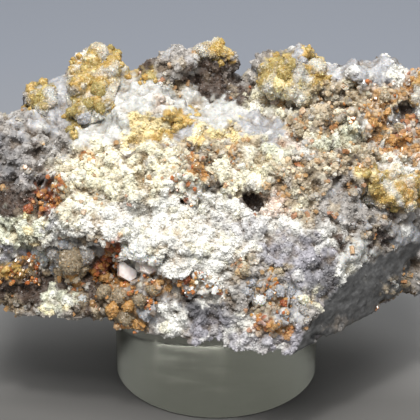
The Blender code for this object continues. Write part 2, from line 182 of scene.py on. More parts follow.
# Where the camera sees each mineral: name, mineral, (middle), (half width, half height), strength
# Brown zones in hollows, gaps and pits, and the dusky zones named shade, are partly painted shade.
ZONES = [
    ("grey left shoulder", "grey_sugar", (26, 158), (46, 44), 1.0),
    ("shoulder's lilac front", "dusk", (14, 152), (26, 20), 1.2),
    ("shoulder's pale top", "quartz", (48, 122), (30, 12), 1.0),
    ("shoulder's shaded foot", "brown", (12, 196), (30, 15), 1.8),
    ("shoulder's dark pits", "brown", (36, 152), (9, 5), 1.6),
    ("shoulder's dusk", "dusk", (24, 172), (34, 16), 1.25),
    ("shoulder's dusky end", "dusk", (8, 140), (16, 10), 1.2),
    ("lilac by the hole", "lilac", (48, 226), (8, 9), 1.0),
    ("rust round the hole", "rust", (49, 192), (10, 15), 1.8),
    ("dark of the hole", "brown", (42, 184), (10, 12), 2.0),
    ("pale crust above the hole", "cream", (66, 172), (18, 14), 1.4),
    ("red crystal below the hole", "rust", (27, 208), (5, 6), 1.7),
    ("green crust at left", "green_cream", (18, 234), (34, 18), 1.8),
    ("white block", "chalk", (40, 256), (10, 8), 1.4),
    ("grey under the block", "lilac", (22, 256), (26, 10), 1.1),
    ("golden crystals at left", "golden", (14, 272), (18, 12), 1.5),
    ("orange crystals at left", "orange", (28, 268), (12, 8), 1.2),
    ("brown floor of the hollow", "brown", (30, 286), (46, 13), 2.2),
    ("boss in the hollow", "umber", (72, 264), (24, 22), 1.7),
    ("boss's grey top", "grey_sugar", (62, 246), (16, 7), 1.4),
    ("boss's orange side", "orange", (76, 272), (9, 8), 1.3),
    ("pale lobe", "green_cream", (56, 298), (15, 11), 2.0),
    ("lobe's knob", "umber", (83, 299), (7, 8), 1.6),
    ("green foot at left", "umber", (8, 304), (16, 10), 1.8),
    ("olive balls at far left", "olive", (44, 98), (14, 14), 1.8),
    ("quartz on the knoll", "quartz", (62, 92), (18, 22), 1.7),
    ("golden crown", "golden", (100, 56), (20, 12), 2.0),
    ("white of the crown", "chalk", (88, 52), (9, 5), 1.8),
    ("golden flank", "golden", (84, 74), (16, 18), 1.9),
    ("golden balls", "golden", (97, 92), (16, 16), 1.9),
    ("olive balls", "olive", (88, 106), (22, 10), 2.0),
    ("olive drip", "olive", (72, 128), (7, 12), 1.6),
    ("white fluff", "milk", (126, 92), (22, 20), 2.1),
    ("golden saddle", "olive", (138, 74), (22, 8), 1.6),
    ("quartz slope", "milk", (104, 130), (30, 16), 1.5),
    ("pale slope", "milk", (168, 98), (34, 14), 1.6),
    ("pink on the slope", "pink", (162, 102), (12, 8), 1.7),
    ("brown knob", "brown", (143, 63), (10, 9), 1.9),
    ("grey ridge", "grey_sugar", (188, 62), (34, 14), 1.5),
    ("purple hollow", "brown", (208, 76), (32, 17), 2.6),
    ("grey floor of the hollow", "tan", (178, 84), (16, 8), 1.2),
    ("golden back knobs", "golden", (220, 48), (16, 9), 2.1),
    ("grey lumps on the ridge", "grey_sugar", (248, 66), (20, 20), 1.5),
    ("brown gap", "brown", (236, 94), (11, 10), 2.6),
    ("yellow balls", "olive", (272, 76), (20, 18), 1.9),
    ("pale dome", "powder", (279, 86), (11, 7), 1.9),
    ("pale column", "quartz", (302, 66), (8, 18), 1.9),
    ("golden right of the column", "golden", (317, 70), (10, 18), 2.0),
    ("milky ridge", "quartz", (356, 68), (46, 13), 2.0),
    ("ridge's white crest", "chalk", (393, 76), (9, 20), 1.9),
    ("grey sugar below the balls", "cream", (276, 101), (30, 14), 1.8),
    ("orange dots", "orange", (276, 103), (9, 5), 1.2),
    ("tan side", "tan", (318, 112), (30, 26), 1.5),
    ("tan near the ridge", "tan", (356, 98), (26, 22), 1.6),
    ("brown pits", "brown", (334, 112), (9, 8), 1.3),
    ("green speckle", "green_cream", (336, 138), (24, 18), 1.6),
    ("rust on the shoulder", "orange", (376, 104), (13, 22), 1.2),
    ("orange below the crest", "orange", (395, 96), (12, 9), 2.0),
    ("orange field", "orange", (394, 138), (20, 24), 1.6),
    ("pale among the orange", "quartz", (396, 120), (12, 14), 1.4),
    ("far right orange", "orange", (415, 78), (8, 12), 2.0),
    ("far right pale", "quartz", (418, 98), (8, 9), 1.8),
    ("shade in the right gap", "brown", (405, 114), (6, 18), 1.8),
    ("powder gold", "powder", (143, 130), (22, 14), 2.0),
    ("gold by the hole", "golden", (156, 136), (12, 10), 1.5),
    ("gold arch", "golden", (178, 120), (15, 6), 1.8),
    ("blue quartz under the arch", "quartz", (182, 133), (10, 7), 1.7),
    ("yellow patch", "powder", (203, 138), (12, 8), 1.7),
    ("blue quartz", "quartz", (262, 124), (20, 14), 1.9),
    ("pale quartz", "milk", (222, 114), (18, 12), 1.6),
    ("yellow drip", "powder", (232, 134), (10, 10), 1.7),
    ("cream crust", "cream", (122, 178), (66, 34), 1.6),
    ("cream crust at right", "cream", (246, 168), (42, 24), 1.4),
    ("tan knobs in the cream", "tan", (236, 152), (30, 12), 1.45),
    ("pitted tan crust", "tan", (286, 172), (26, 18), 1.4),
    ("green knobs by the pits", "green_cream", (270, 152), (16, 10), 1.5),
    ("green cream patch", "chalk", (128, 208), (40, 18), 1.3),
    ("white heart", "chalk", (170, 232), (50, 40), 1.8),
    ("white ledge", "chalk", (96, 229), (50, 15), 1.8),
    ("white lip", "chalk", (166, 258), (40, 20), 2.0),
    ("yellow stain", "powder", (180, 224), (12, 22), 1.4),
    ("red vein", "rust", (182, 200), (7, 9), 1.7),
    ("orange vein", "orange", (196, 172), (9, 8), 1.6),
    ("orange spot", "orange", (80, 157), (6, 4), 1.8),
    ("tan spot", "orange", (97, 183), (6, 6), 1.5),
    ("brown pit", "brown", (148, 172), (6, 5), 1.5),
    ("brown hole in the crust", "brown", (255, 203), (13, 9), 2.2),
    ("brown mouth", "brown", (214, 186), (9, 6), 2.0),
    ("pink crust", "pink", (272, 204), (18, 14), 1.5),
    ("tan crust", "tan", (300, 196), (24, 20), 1.3),
    ("pale crust at right", "chalk", (300, 156), (12, 8), 1.0),
    ("pink above it", "pink", (292, 146), (14, 8), 1.3),
    ("white front", "chalk", (244, 236), (46, 32), 1.5),
    ("lilac in the front", "lilac", (244, 228), (34, 16), 1.5),
    ("milky front", "lilac", (272, 250), (30, 20), 1.45),
    ("grey white crystals", "grey_sugar", (350, 212), (34, 26), 1.5),
    ("white crystals", "chalk", (334, 226), (20, 16), 1.1),
    ("white crest at right", "chalk", (398, 166), (28, 7), 2.0),
    ("gold at right", "golden", (368, 170), (12, 9), 2.0),
    ("gold under the crest", "golden", (398, 192), (26, 17), 2.2),
    ("brown under the gold", "brown", (386, 212), (9, 6), 1.4),
    ("brown pits at right", "brown", (382, 236), (14, 12), 1.2),
    ("pale green lump", "milk", (356, 256), (14, 13), 1.8),
    ("dusky patch", "dusk", (320, 273), (20, 17), 2.6),
    ("lilac round the dusky patch", "lilac", (316, 268), (28, 24), 1.5),
    ("tan crystals on the crack", "tan", (244, 268), (14, 9), 1.5),
    ("tan knobs right of the crack", "tan", (274, 270), (10, 5), 1.5),
    ("nodules round the pit", "grey_sugar", (258, 294), (28, 20), 1.3),
    ("tan nodules in the pit", "tan", (266, 300), (18, 16), 1.3),
    ("orange crystals in the pit", "orange", (270, 288), (10, 7), 1.9),
    ("amber spots in the pit", "orange", (284, 302), (6, 6), 1.9),
    ("rust in the pit", "rust", (266, 306), (6, 6), 1.7),
    ("milky nodules in the pit", "quartz", (292, 290), (8, 7), 1.8),
    ("white nodules in the pit", "quartz", (284, 314), (12, 5), 1.5),
    ("orange at the pit's foot", "orange", (274, 327), (15, 7), 2.0),
    ("rust at the pit's foot", "rust", (262, 323), (9, 6), 1.9),
    ("green lump at the corner", "grey_sugar", (306, 306), (9, 18), 1.5),
    ("lilac white foot", "lilac", (262, 340), (40, 16), 1.4),
    ("white foot", "chalk", (250, 326), (22, 14), 1.3),
    ("lilac matrix", "lilac", (214, 326), (32, 14), 1.6),
    ("dusky matrix", "dusk", (204, 316), (26, 12), 1.6),
    ("white left of the matrix", "chalk", (176, 322), (12, 14), 1.6),
    ("under the lip", "grey_sugar", (178, 291), (18, 13), 1.5),
    ("orange under the lip", "orange", (170, 288), (10, 8), 1.6),
    ("brown under the lip", "brown", (184, 299), (8, 6), 1.6),
    ("amber in the hollow", "orange", (152, 286), (9, 12), 1.6),
    ("red balls in the hollow", "rust", (114, 246), (9, 6), 2.0),
    ("grey top of the hollow", "grey_sugar", (98, 248), (9, 8), 1.4),
    ("rust in the hollow", "rust", (104, 264), (9, 11), 1.8),
    ("orange band in the hollow", "orange", (118, 284), (13, 8), 1.8),
    ("umber floor of the hollow", "umber", (116, 300), (24, 20), 1.6),
    ("amber floor of the hollow", "orange", (122, 306), (18, 7), 1.5),
    ("grey in the hollow", "grey_sugar", (138, 296), (12, 12), 1.4),
    ("milky rib", "quartz", (144, 312), (8, 12), 1.4),
    ("amber foot", "orange", (132, 326), (11, 5), 1.9),
    ("brown gap beside the boss", "brown", (90, 284), (9, 24), 2.2),
    ("shaded gap under the ledge", "brown", (78, 247), (26, 4), 1.0),
    ("white edge over the broken side", "chalk", (350, 272), (18, 8), 1.8),
    ("white edge further down", "cream", (318, 298), (7, 10), 1.4),
    ("crystals over the broken side", "quartz", (398, 236), (22, 9), 1.4),
    ("white right of the lip", "chalk", (211, 288), (15, 17), 2.1),
    ("tan by the mouth", "tan", (204, 152), (18, 10), 2.1),
    ("orange by the mouth", "orange", (192, 162), (9, 5), 1.6),
    ("pit by the mouth", "brown", (203, 166), (6, 5), 1.8),
    ("tan below the speckle", "tan", (334, 160), (26, 11), 1.9),
    ("umber below the speckle", "umber", (326, 154), (16, 9), 1.9),
    ("white round the vein", "chalk", (171, 182), (12, 13), 1.7),
    ("deep gold at right", "orange", (404, 190), (16, 12), 2.1),
    ("ridge's shade", "dusk", (344, 64), (36, 9), 1.3),
    ("knoll's shade", "dusk", (56, 86), (14, 14), 0.8),
    ("dusk below the patch", "dusk", (318, 288), (13, 11), 2.0),
    ("white foot further down", "chalk", (256, 342), (30, 10), 1.2),
    ("milk on the crown", "milk", (96, 50), (12, 6), 1.8),
    ("milk on the flank", "milk", (72, 76), (8, 14), 1.6),
    ("milk by the balls", "milk", (80, 116), (14, 8), 1.3),
    ("white on the slope", "chalk", (140, 208), (26, 14), 2.0),
    ("dark pit above the mouth", "brown", (196, 150), (8, 4), 2.3),
    ("dark pits by the mouth", "brown", (213, 160), (8, 4), 2.3),
    ("dark pits below the speckle", "brown", (326, 148), (8, 4), 2.2),
    ("dark pits near the gold", "brown", (346, 157), (8, 4), 2.2),
    ("milky crystals in the field", "milk", (398, 128), (9, 8), 2.0),
    ("milky crystals under it", "milk", (382, 150), (10, 6), 1.7),
    ("pale by the crest", "tan", (384, 92), (8, 8), 1.5),
    ("umber by the mouth", "umber", (208, 158), (12, 7), 1.9),
    ("crystals under the gold", "grey_sugar", (408, 214), (14, 10), 1.5),
    ("milky knobs on the shoulder", "milk", (366, 120), (10, 12), 1.3),
    ("shade on the crest", "dusk", (374, 80), (16, 9), 1.3),
    ("pit by the lump", "brown", (342, 246), (7, 6), 1.9),
    ("olive of the corner lump", "olive", (306, 304), (6, 12), 1.5),
    ("brown rim of the broken side", "umber", (394, 306), (22, 8), 6.0),
    ("brown stain on the broken side", "umber", (388, 284), (14, 6), 4.0),
    ("pale patch on the broken side", "matrix", (342, 324), (14, 9), 5.0),
    ("white left of the hole", "cream", (46, 176), (6, 8), 1.4),
    ("pale edge above the left hole", "quartz", (44, 181), (13, 9), 1.8),
    ("dark floor of the left hole", "brown", (34, 208), (12, 7), 1.6),
    ("white crust above the plate", "chalk", (154, 210), (15, 12), 1.6),
    ("tan band under the yellow", "tan", (196, 154), (25, 10), 1.3),
    ("tan slope by the broken side", "tan", (364, 153), (24, 11), 1.4),
    ("umber pits by the broken side", "umber", (352, 158), (10, 6), 1.2),
    ("pale crust among the orange", "cream", (393, 104), (13, 12), 1.1),
    ("pale knobs among the orange", "quartz", (404, 128), (9, 9), 1.2),
    ("peach crust on the shoulder", "pink", (374, 88), (12, 9), 1.1),
]

# Where the crust ends on the broken side, from pixel to pixel
BROKEN_EDGE = [(295, 350), (306, 333), (322, 305), (338, 285), (365, 264), (392, 251), (420, 240)]

# Pits too small for the solids: (pixel), (half width, half height), depth in millimetres; below 0 it swells
PITS = [
    ((152, 264), (16, 10), -1.7),
    ((178, 266), (20, 10), -1.6),
    ((141, 254), (12, 7), -1.2),
    ((342, 246), (6, 6), 1.2),
    ((196, 150), (9, 5), 1.0),
    ((213, 160), (8, 5), 1.0),
    ((326, 148), (9, 5), 1.1),
    ((346, 157), (9, 5), 1.1),
    ((334, 166), (7, 4), 0.9),
    ((210, 284), (14, 12), -0.5),
    ((134, 142), (6, 5), 1.0),
    ((148, 172), (7, 4), 1.0),
    ((204, 166), (6, 5), 1.0),
    ((186, 196), (7, 8), 0.9),
    ((214, 187), (9, 5), 1.1),
    ((255, 203), (11, 7), 1.3),
    ((318, 214), (5, 5), 0.8),
    ((297, 137), (5, 5), 0.9),
    ((302, 120), (6, 5), 0.9),
    ((336, 112), (8, 6), 1.1),
    ((352, 88), (6, 6), 0.8),
    ((240, 172), (5, 6), 0.9),
    ((374, 222), (6, 5), 1.0),
    ((388, 244), (8, 6), 1.1),
    ((188, 297), (9, 7), 1.0),
    ((36, 152), (9, 4), 1.0),
    ((12, 180), (8, 6), 0.9),
    ((100, 152), (5, 4), 0.7),
    ((120, 160), (5, 4), 0.8),
    ((256, 305), (5, 6), 0.8),
    ((318, 338), (7, 4), 0.9),
]

# Patches that small crystals leave open, for a larger crystal to show: (pixel), (half width, half height)
OPEN_PATCHES = [((129, 271), (14, 12)), ((149, 267), (8, 6))]

# Smaller plates: name, (pixel), radius and thickness in millimetres, lean off the camera's direction, colour
SMALL_PLATES = [
    ("small_plate_crystal", (148, 267), 1.5, 1.0, (0.15, 0.0, 0.3), (0.76, 0.68, 0.63)),
]

# Larger knobs that stand by themselves: mineral, (pixel), radius in millimetres
KNOBS = [
    ("rust", (111, 246), 0.75),
    ("rust", (119, 249), 0.65),
    ("rust", (27, 209), 0.80),
    ("rust", (186, 279), 0.80),
    ("orange", (168, 288), 0.70),
    ("orange", (193, 282), 0.60),
    ("tan", (239, 263), 0.70),
    ("tan", (245, 270), 0.75),
    ("tan", (250, 259), 0.60),
    ("tan", (238, 274), 0.65),
    ("orange", (270, 270), 0.55),
    ("tan", (279, 271), 0.55),
    ("quartz", (268, 294), 0.75),
    ("quartz", (280, 291), 0.80),
    ("quartz", (291, 292), 0.75),
    ("chalk", (260, 300), 0.80),
    ("quartz", (246, 292), 0.85),
    ("quartz", (253, 282), 0.70),
    ("tan", (258, 311), 0.70),
    ("cream", (305, 300), 0.80),
    ("grey_sugar", (304, 311), 0.85),
    ("grey_sugar", (306, 321), 0.70),
    ("grey_sugar", (57, 251), 1.50),
    ("umber", (71, 259), 2.00),
    ("umber", (63, 270), 1.60),
    ("umber", (79, 270), 1.50),
    ("grey_sugar", (84, 256), 1.30),
    ("quartz", (64, 262), 1.10),
    ("tan", (78, 262), 0.90),
    ("pink", (70, 269), 0.70),
    ("tan", (86, 268), 0.80),
    ("quartz", (56, 268), 0.90),
    ("grey_sugar", (70, 247), 1.40),
    ("orange", (72, 275), 1.00),
    ("chalk", (143, 256), 1.20),
    ("chalk", (156, 258), 1.30),
    ("chalk", (135, 250), 1.00),
    ("chalk", (125, 252), 0.90),
    ("chalk", (38, 253), 1.20),
    ("chalk", (44, 256), 1.10),
    ("chalk", (40, 259), 1.00),
    ("orange", (76, 282), 0.80),
    ("umber", (104, 292), 1.10),
    ("umber", (118, 298), 1.30),
    ("orange", (130, 306), 1.10),
    ("umber", (140, 300), 1.00),
    ("orange", (112, 310), 0.90),
    ("umber", (126, 318), 1.10),
    ("orange", (138, 324), 0.90),
    ("quartz", (146, 314), 0.90),
    ("orange", (104, 276), 0.80),
    ("umber", (152, 290), 0.90),
    ("quartz", (64, 244), 0.90),
    ("milk", (82, 300), 0.90),
    ("rust", (284, 303), 0.60),
    ("olive", (98, 90), 0.95),
    ("olive", (88, 104), 1.00),
    ("olive", (100, 108), 0.95),
    ("olive", (72, 112), 0.80),
    ("olive", (70, 130), 0.70),
    ("quartz", (303, 62), 0.80),
    ("powder", (279, 84), 1.10),
    ("quartz", (84, 118), 0.90),
    ("tan", (300, 132), 0.75),
    ("pink", (276, 103), 0.80),
    ("tan", (264, 100), 0.70),
    ("tan", (385, 96), 0.80),
    ("orange", (372, 122), 0.75),
    ("tan", (380, 134), 0.80),
    ("orange", (392, 140), 0.75),
    ("tan", (398, 128), 0.75),
    ("orange", (388, 112), 0.70),
]


def noise_field(points, size, shift=0.0):
    """Smooth noise from -1 to 1 at each point, with swells of that size."""
    offset = Vector((shift, shift * 1.7, -shift))
    return np.array([noise.noise(Vector(point) / size + offset) for point in points])


def cap_field(points, size, shift=0.0):
    """A height from 0 to 1 at each point, like packed round knobs of that size."""
    offset = Vector((shift, -shift, shift * 0.6))
    nearest = np.array([noise.voronoi(Vector(point) / size + offset)[0][0] for point in points])
    return np.clip(1.0 - 1.6 * nearest**2, 0.0, 1.0)


def knob_cells(points, size, shift):
    """The heights of cap_field, with three random values from 0 to 1 that are the same all over each knob."""
    offset = Vector((shift, -shift, shift * 0.6))
    found = [noise.voronoi(Vector(point) / size + offset) for point in points]
    nearest = np.array([distances[0] for distances, _ in found])
    centres = np.array([places[0][:] for _, places in found])
    mixed = np.sin(centres @ np.array(((12.9, 39.3, 73.1), (78.2, 11.1, 52.2), (37.7, 83.2, 9.2))))
    return np.clip(1.0 - 1.6 * nearest**2, 0.0, 1.0), np.modf(np.abs(mixed * 43758.5))[0]


def pixels_of(points):
    """Where the camera sees each point, as columns for across and down."""
    offset = (points - np.array(TARGET)) / MM
    up = offset[:, 1] * math.sin(VIEW_TILT) + offset[:, 2] * math.cos(VIEW_TILT)
    out = offset[:, 2] * math.sin(VIEW_TILT) - offset[:, 1] * math.cos(VIEW_TILT)
    scale = PIXELS_PER_MM * CAMERA_DISTANCE / (CAMERA_DISTANCE - out * MM)
    return np.column_stack((PICTURE_MIDDLE + offset[:, 0] * scale, PICTURE_MIDDLE - up * scale))


def facing_camera(normals):
    """How far each normal turns to the camera, from -1 to 1."""
    return normals @ np.array(TO_CAMERA)


def away_from(pixels, middle, half_sizes):
    """How far each pixel lies from a patch's middle, squared: 1 on the patch's edge."""
    return (((pixels - np.array(middle)) / np.array(half_sizes)) ** 2).sum(axis=1)


def mesh_points(mesh):
    """A mesh's points, one row for each."""
    places = np.empty(len(mesh.vertices) * 3)
    mesh.vertices.foreach_get("co", places)
    return places.reshape(-1, 3)


def mesh_normals(mesh):
    """The normals at a mesh's points, one row for each."""
    normals = np.empty(len(mesh.vertices) * 3)
    mesh.vertex_normals.foreach_get("vector", normals)
    return normals.reshape(-1, 3)


def mesh_triangles(mesh):
    """The points' numbers at the corners of a mesh's triangles."""
    mesh.calc_loop_triangles()
    corners = np.empty(len(mesh.loop_triangles) * 3, np.int32)
    mesh.loop_triangles.foreach_get("vertices", corners)
    return corners.reshape(-1, 3)


def write_places(mesh, points):
    """Moves a mesh's points to these places."""
    mesh.vertices.foreach_set("co", np.ascontiguousarray(points, np.float32).ravel())
    mesh.update()


def write_colours(mesh, colours):
    """Keeps each point's own colour on the mesh, for its material to read."""
    layer = mesh.color_attributes.new("mineral colour", "FLOAT_COLOR", "POINT")
    rgba = np.column_stack((np.clip(colours, 0.0, 1.0), np.ones(len(colours))))
    layer.data.foreach_set("color", rgba.astype(np.float32).ravel())


def read_colours(mesh):
    """The colours that write_colours kept."""
    rgba = np.empty(len(mesh.vertices) * 4, np.float32)
    mesh.color_attributes["mineral colour"].data.foreach_get("color", rgba)
    return rgba.reshape(-1, 4)[:, :3]


def write_amount(mesh, name, amounts):
    """Keeps a value for each point on the mesh, under a name."""
    layer = mesh.attributes.new(name, "FLOAT", "POINT")
    layer.data.foreach_set("value", amounts.astype(np.float32))


def read_amount(mesh, name):
    """The values that write_amount kept under a name."""
    amounts = np.empty(len(mesh.vertices), np.float32)
    mesh.attributes[name].data.foreach_get("value", amounts)
    return amounts


def add_object(name, mesh, material=None, smooth=True):
    """A new object in the scene, with the mesh and material given."""
    piece = bpy.data.objects.new(name, mesh)
    bpy.context.scene.collection.objects.link(piece)
    if material is not None:
        mesh.materials.clear()
        mesh.materials.append(material)
    mesh.polygons.foreach_set("use_smooth", [smooth] * len(mesh.polygons))
    return piece


def remeshed(node, voxel, rounding, thin_back=None):
    """A fine, even mesh of a solid, its facets rounded off a little.

    Where a share is given as thin_back, the sides that the camera doesn't see are made coarser.
    """
    bm = bmesh.new()
    bm.from_mesh(frame["nodes"][node].data)
    bmesh.ops.remove_doubles(bm, verts=bm.verts, dist=0.002 * MM)
    rough = bpy.data.meshes.new(node + " copy")
    bm.to_mesh(rough)
    bm.free()
    copy = bpy.data.objects.new(node + " copy", rough)
    bpy.context.scene.collection.objects.link(copy)
    even = copy.modifiers.new("Even", "REMESH")
    even.mode = "VOXEL"
    even.voxel_size = voxel
    soften = copy.modifiers.new("Soften", "SMOOTH")
    soften.factor = 0.5
    soften.iterations = rounding
    mesh = applied(copy)
    if thin_back is not None:
        mesh = thinned_behind(mesh, thin_back)
    return mesh


def applied(piece):
    """The mesh that an object's modifiers make. The object itself is removed."""
    graph = bpy.context.evaluated_depsgraph_get()
    mesh = bpy.data.meshes.new_from_object(piece.evaluated_get(graph))
    bpy.data.objects.remove(piece)
    return mesh


def thinned_behind(mesh, share):
    """The mesh brought down to that share of its triangles, all on the sides that the camera doesn't see.

    Those sides are broken rock. They're roughened first, so that the triangles left stay small and even.
    """
    points, normals = mesh_points(mesh), mesh_normals(mesh)
    facing = facing_camera(normals)
    back = np.clip(0.1 - 3.0 * facing, 0.0, 1.0) * (1.0 - broken_side_share(points, normals))
    rough = 0.30 * cap_field(points, 2.2 * MM, 41.0) + 0.16 * noise_field(points, 0.8 * MM, 43.0)
    write_places(mesh, points + normals * (back * rough * MM)[:, None])
    copy = bpy.data.objects.new(mesh.name + " thinned", mesh)
    bpy.context.scene.collection.objects.link(copy)
    behind = copy.vertex_groups.new(name="behind")
    hidden = np.nonzero(facing < -0.12)[0]
    behind.add(hidden.tolist(), 1.0, "REPLACE")
    thin = copy.modifiers.new("Thin", "DECIMATE")
    thin.ratio = share
    thin.vertex_group = behind.name
    return applied(copy)


def zone_shares(points, normals, draws):
    """How much of each mineral there is at each point, as one column for each of MINERALS."""
    pixels = pixels_of(points) + 5.0 * (2.0 * draws[:, :2] - 1.0)
    ragged = np.column_stack((noise_field(points, 2.4 * MM, 3.0), noise_field(points, 2.4 * MM, 8.0)))
    fine = np.column_stack((noise_field(points, 0.7 * MM, 1.0), noise_field(points, 0.7 * MM, 5.0)))
    seen = pixels + 10.0 * ragged + 5.0 * fine
    weights = np.zeros((len(points), len(MINERALS)))
    front = np.clip(facing_camera(normals) * 4.0 + 0.6, 0.0, 1.0)
    for _, mineral, middle, half_sizes, strength in ZONES:
        weight = strength * np.exp(-1.2 * away_from(seen, middle, half_sizes)) * front
        column = MINERALS.index(mineral)
        weights[:, column] = np.maximum(weights[:, column], weight)
    weights[:, MINERALS.index("matrix")] += 0.12 + 0.9 * (1.0 - front)
    weights[:, MINERALS.index("grey_sugar")] += 0.10 * front
    for mineral, shift in (("dusk", 51.0), ("umber", 53.0), ("tan", 57.0), ("lilac", 59.0)):
        patch = 1.6 * noise_field(points, 6.0 * MM, shift) + 0.5 * noise_field(points, 1.5 * MM, shift)
        weights[:, MINERALS.index(mineral)] += 1.4 * np.clip(patch, 0.0, 1.0) * (1.0 - front)
    weights[:, MINERALS.index("slate")] += 3.0 * broken_side_share(points, normals)
    sharp = weights**4
    shares = sharp / sharp.sum(axis=1, keepdims=True)
    accents = np.zeros((2, len(MINERALS), len(MINERALS)))
    for mineral, pair in ACCENTS.items():
        for accent, other in zip(accents, pair):
            accent[MINERALS.index(mineral), MINERALS.index(other)] = 1.0
    first = np.clip((draws[:, 2] - 0.62) * 8.0, 0.0, 0.6)[:, None]
    second = np.clip((draws[:, 2] - 0.82) * 8.0, 0.0, 0.6)[:, None]
    often, seldom = shares @ accents[0], shares @ accents[1]
    return shares * (1.0 - first) + often * (first - second) + seldom * second


def broken_side_share(points, normals):
    """1 on the flat side where the block broke off, 0 elsewhere."""
    facing = normals @ np.array(BROKEN_FACING)
    low = np.clip((30.5 * MM - points[:, 2]) / (3.0 * MM), 0.0, 1.0)
    near = np.clip((points[:, 0] - 8.0 * MM) / (3.0 * MM), 0.0, 1.0)
    pixels = pixels_of(points)
    edge = np.interp(pixels[:, 0], *zip(*BROKEN_EDGE)) + 5.0 * noise_field(points, 1.2 * MM, 19.0)
    below = np.clip((pixels[:, 1] - edge) / 2.0, 0.0, 1.0)
    return np.clip((facing - 0.90) * 14.0, 0.0, 1.0) * low * near * below


def sink_pits(points, normals):
    """How deep each point lies in the small pits, in metres."""
    ragged = np.column_stack((noise_field(points, 0.9 * MM, 2.0), noise_field(points, 0.9 * MM, 6.0)))
    pixels = pixels_of(points) + 2.5 * ragged
    depth = np.zeros(len(points))
    front = np.clip(facing_camera(normals) * 2.0 + 0.4, 0.0, 1.0)
    for middle, half_sizes, deep in PITS:
        sunk = deep * MM * front * np.clip(1.3 - away_from(pixels, middle, half_sizes), 0.0, 1.0)
        depth = np.where(np.abs(sunk) > np.abs(depth), sunk, depth)
    return depth


def pick_spots(surface, density, count, seed):
    """Random places on a mesh, more of them where the density is high, with their normals and colours."""
    mesh = surface.data
    points, normals, triangles = mesh_points(mesh), mesh_normals(mesh), mesh_triangles(mesh)
    corners = points[triangles]
    sides = corners[:, 1] - corners[:, 0], corners[:, 2] - corners[:, 0]
    areas = 0.5 * np.linalg.norm(np.cross(*sides), axis=1)
    chances = areas * density[triangles].mean(axis=1) * in_the_open(corners.mean(axis=1))
    draw = np.random.default_rng(seed)
    chosen = draw.choice(len(triangles), size=count, p=chances / chances.sum())
    shares = draw.dirichlet((1.0, 1.0, 1.0), size=count)[:, :, None]
    places = (corners[chosen] * shares).sum(axis=1)
    directions = (normals[triangles[chosen]] * shares).sum(axis=1)
    directions /= np.linalg.norm(directions, axis=1)[:, None]
    colours = (read_colours(mesh)[triangles[chosen]] * shares).sum(axis=1)
    return places, directions, colours, draw


def in_the_open(places):
    """Whether each place is off the patches where larger crystals show."""
    pixels = pixels_of(places)
    free = np.ones(len(places), bool)
    for middle, half_sizes in OPEN_PATCHES:
        free &= away_from(pixels, middle, half_sizes) > 1.0
    return free


def moved_back(points, depth):
    """Each point's step away from the camera on the open patches, so that the larger crystal there shows."""
    pixels = pixels_of(points)
    share = np.zeros(len(points))
    for middle, half_sizes in OPEN_PATCHES:
        share = np.maximum(share, np.clip(2.5 - 2.5 * away_from(pixels, middle, half_sizes), 0.0, 1.0))
    return depth * MM * share[:, None] * -np.array(TO_CAMERA)


def turns_to(directions, lean, draw):
    """Turning matrices that stand each crystal along its direction, leaning and spun at random."""
    axes = directions + lean * draw.normal(size=directions.shape)
    axes /= np.linalg.norm(axes, axis=1)[:, None]
    helper = draw.normal(size=axes.shape)
    first = np.cross(axes, helper)
    first /= np.linalg.norm(first, axis=1)[:, None]
    second = np.cross(axes, first)
    return np.stack((first, second, axes), axis=2)


def joined_crystals(name, form, places, turns, sizes, colours, material, smooth=False):
    """One mesh of many copies of a form, each with its own place, turn, size and colour."""
    base = mesh_points(form)
    loops = np.empty(len(form.loops), np.int32)
    form.loops.foreach_get("vertex_index", loops)
    totals = np.empty(len(form.polygons), np.int32)
    form.polygons.foreach_get("loop_total", totals)
    scaled = base[None, :, :] * sizes[:, None, :]
    points = np.einsum("nij,nvj->nvi", turns, scaled) + places[:, None, :]
    count = len(places)
    mesh = bpy.data.meshes.new(name)
    mesh.vertices.add(count * len(base))
    mesh.loops.add(count * len(loops))
    mesh.polygons.add(count * len(totals))
    mesh.vertices.foreach_set("co", points.astype(np.float32).ravel())
    corner = (loops[None, :] + (np.arange(count) * len(base))[:, None]).astype(np.int32)
    mesh.loops.foreach_set("vertex_index", corner.ravel())
    starts = np.concatenate(([0], np.cumsum(np.tile(totals, count))[:-1])).astype(np.int32)
    mesh.polygons.foreach_set("loop_start", starts)
    mesh.update(calc_edges=True)
    write_colours(mesh, np.repeat(colours, len(base), axis=0))
    return add_object(name, mesh, material, smooth)


def form_from(bm, name):
    """A finished mesh made from a bmesh, which is freed."""
    mesh = bpy.data.meshes.new(name)
    bm.to_mesh(mesh)
    bm.free()
    return mesh


def sugar_form():
    """A crystal grain about 1 across: six uneven points and eight faces."""
    bm = bmesh.new()
    sides = [(0.55, 0.05, 0.0), (0.1, 0.5, 0.1), (-0.5, 0.1, -0.05), (-0.05, -0.55, 0.05)]
    tips = [(0.1, 0.0, 0.5), (0.0, 0.1, -0.5)]
    corners = [bm.verts.new(corner) for corner in sides + tips]
    for k in range(4):
        side, following = corners[k], corners[(k + 1) % 4]
        bm.faces.new((side, following, corners[4]))
        bm.faces.new((following, side, corners[5]))
    return form_from(bm, "sugar grain")


def prism_form(chamfer):
    """A six-sided crystal, 1 in radius and 2 in length, with its end edges cut at an angle."""
    bm = bmesh.new()
    bmesh.ops.create_cone(bm, cap_ends=True, segments=6, radius1=1.0, radius2=1.0, depth=2.0)
    if chamfer:
        caps = [face for face in bm.faces if len(face.verts) == 6]
        bmesh.ops.inset_individual(bm, faces=caps, thickness=0.28, depth=0.22)
    return form_from(bm, "six-sided crystal")


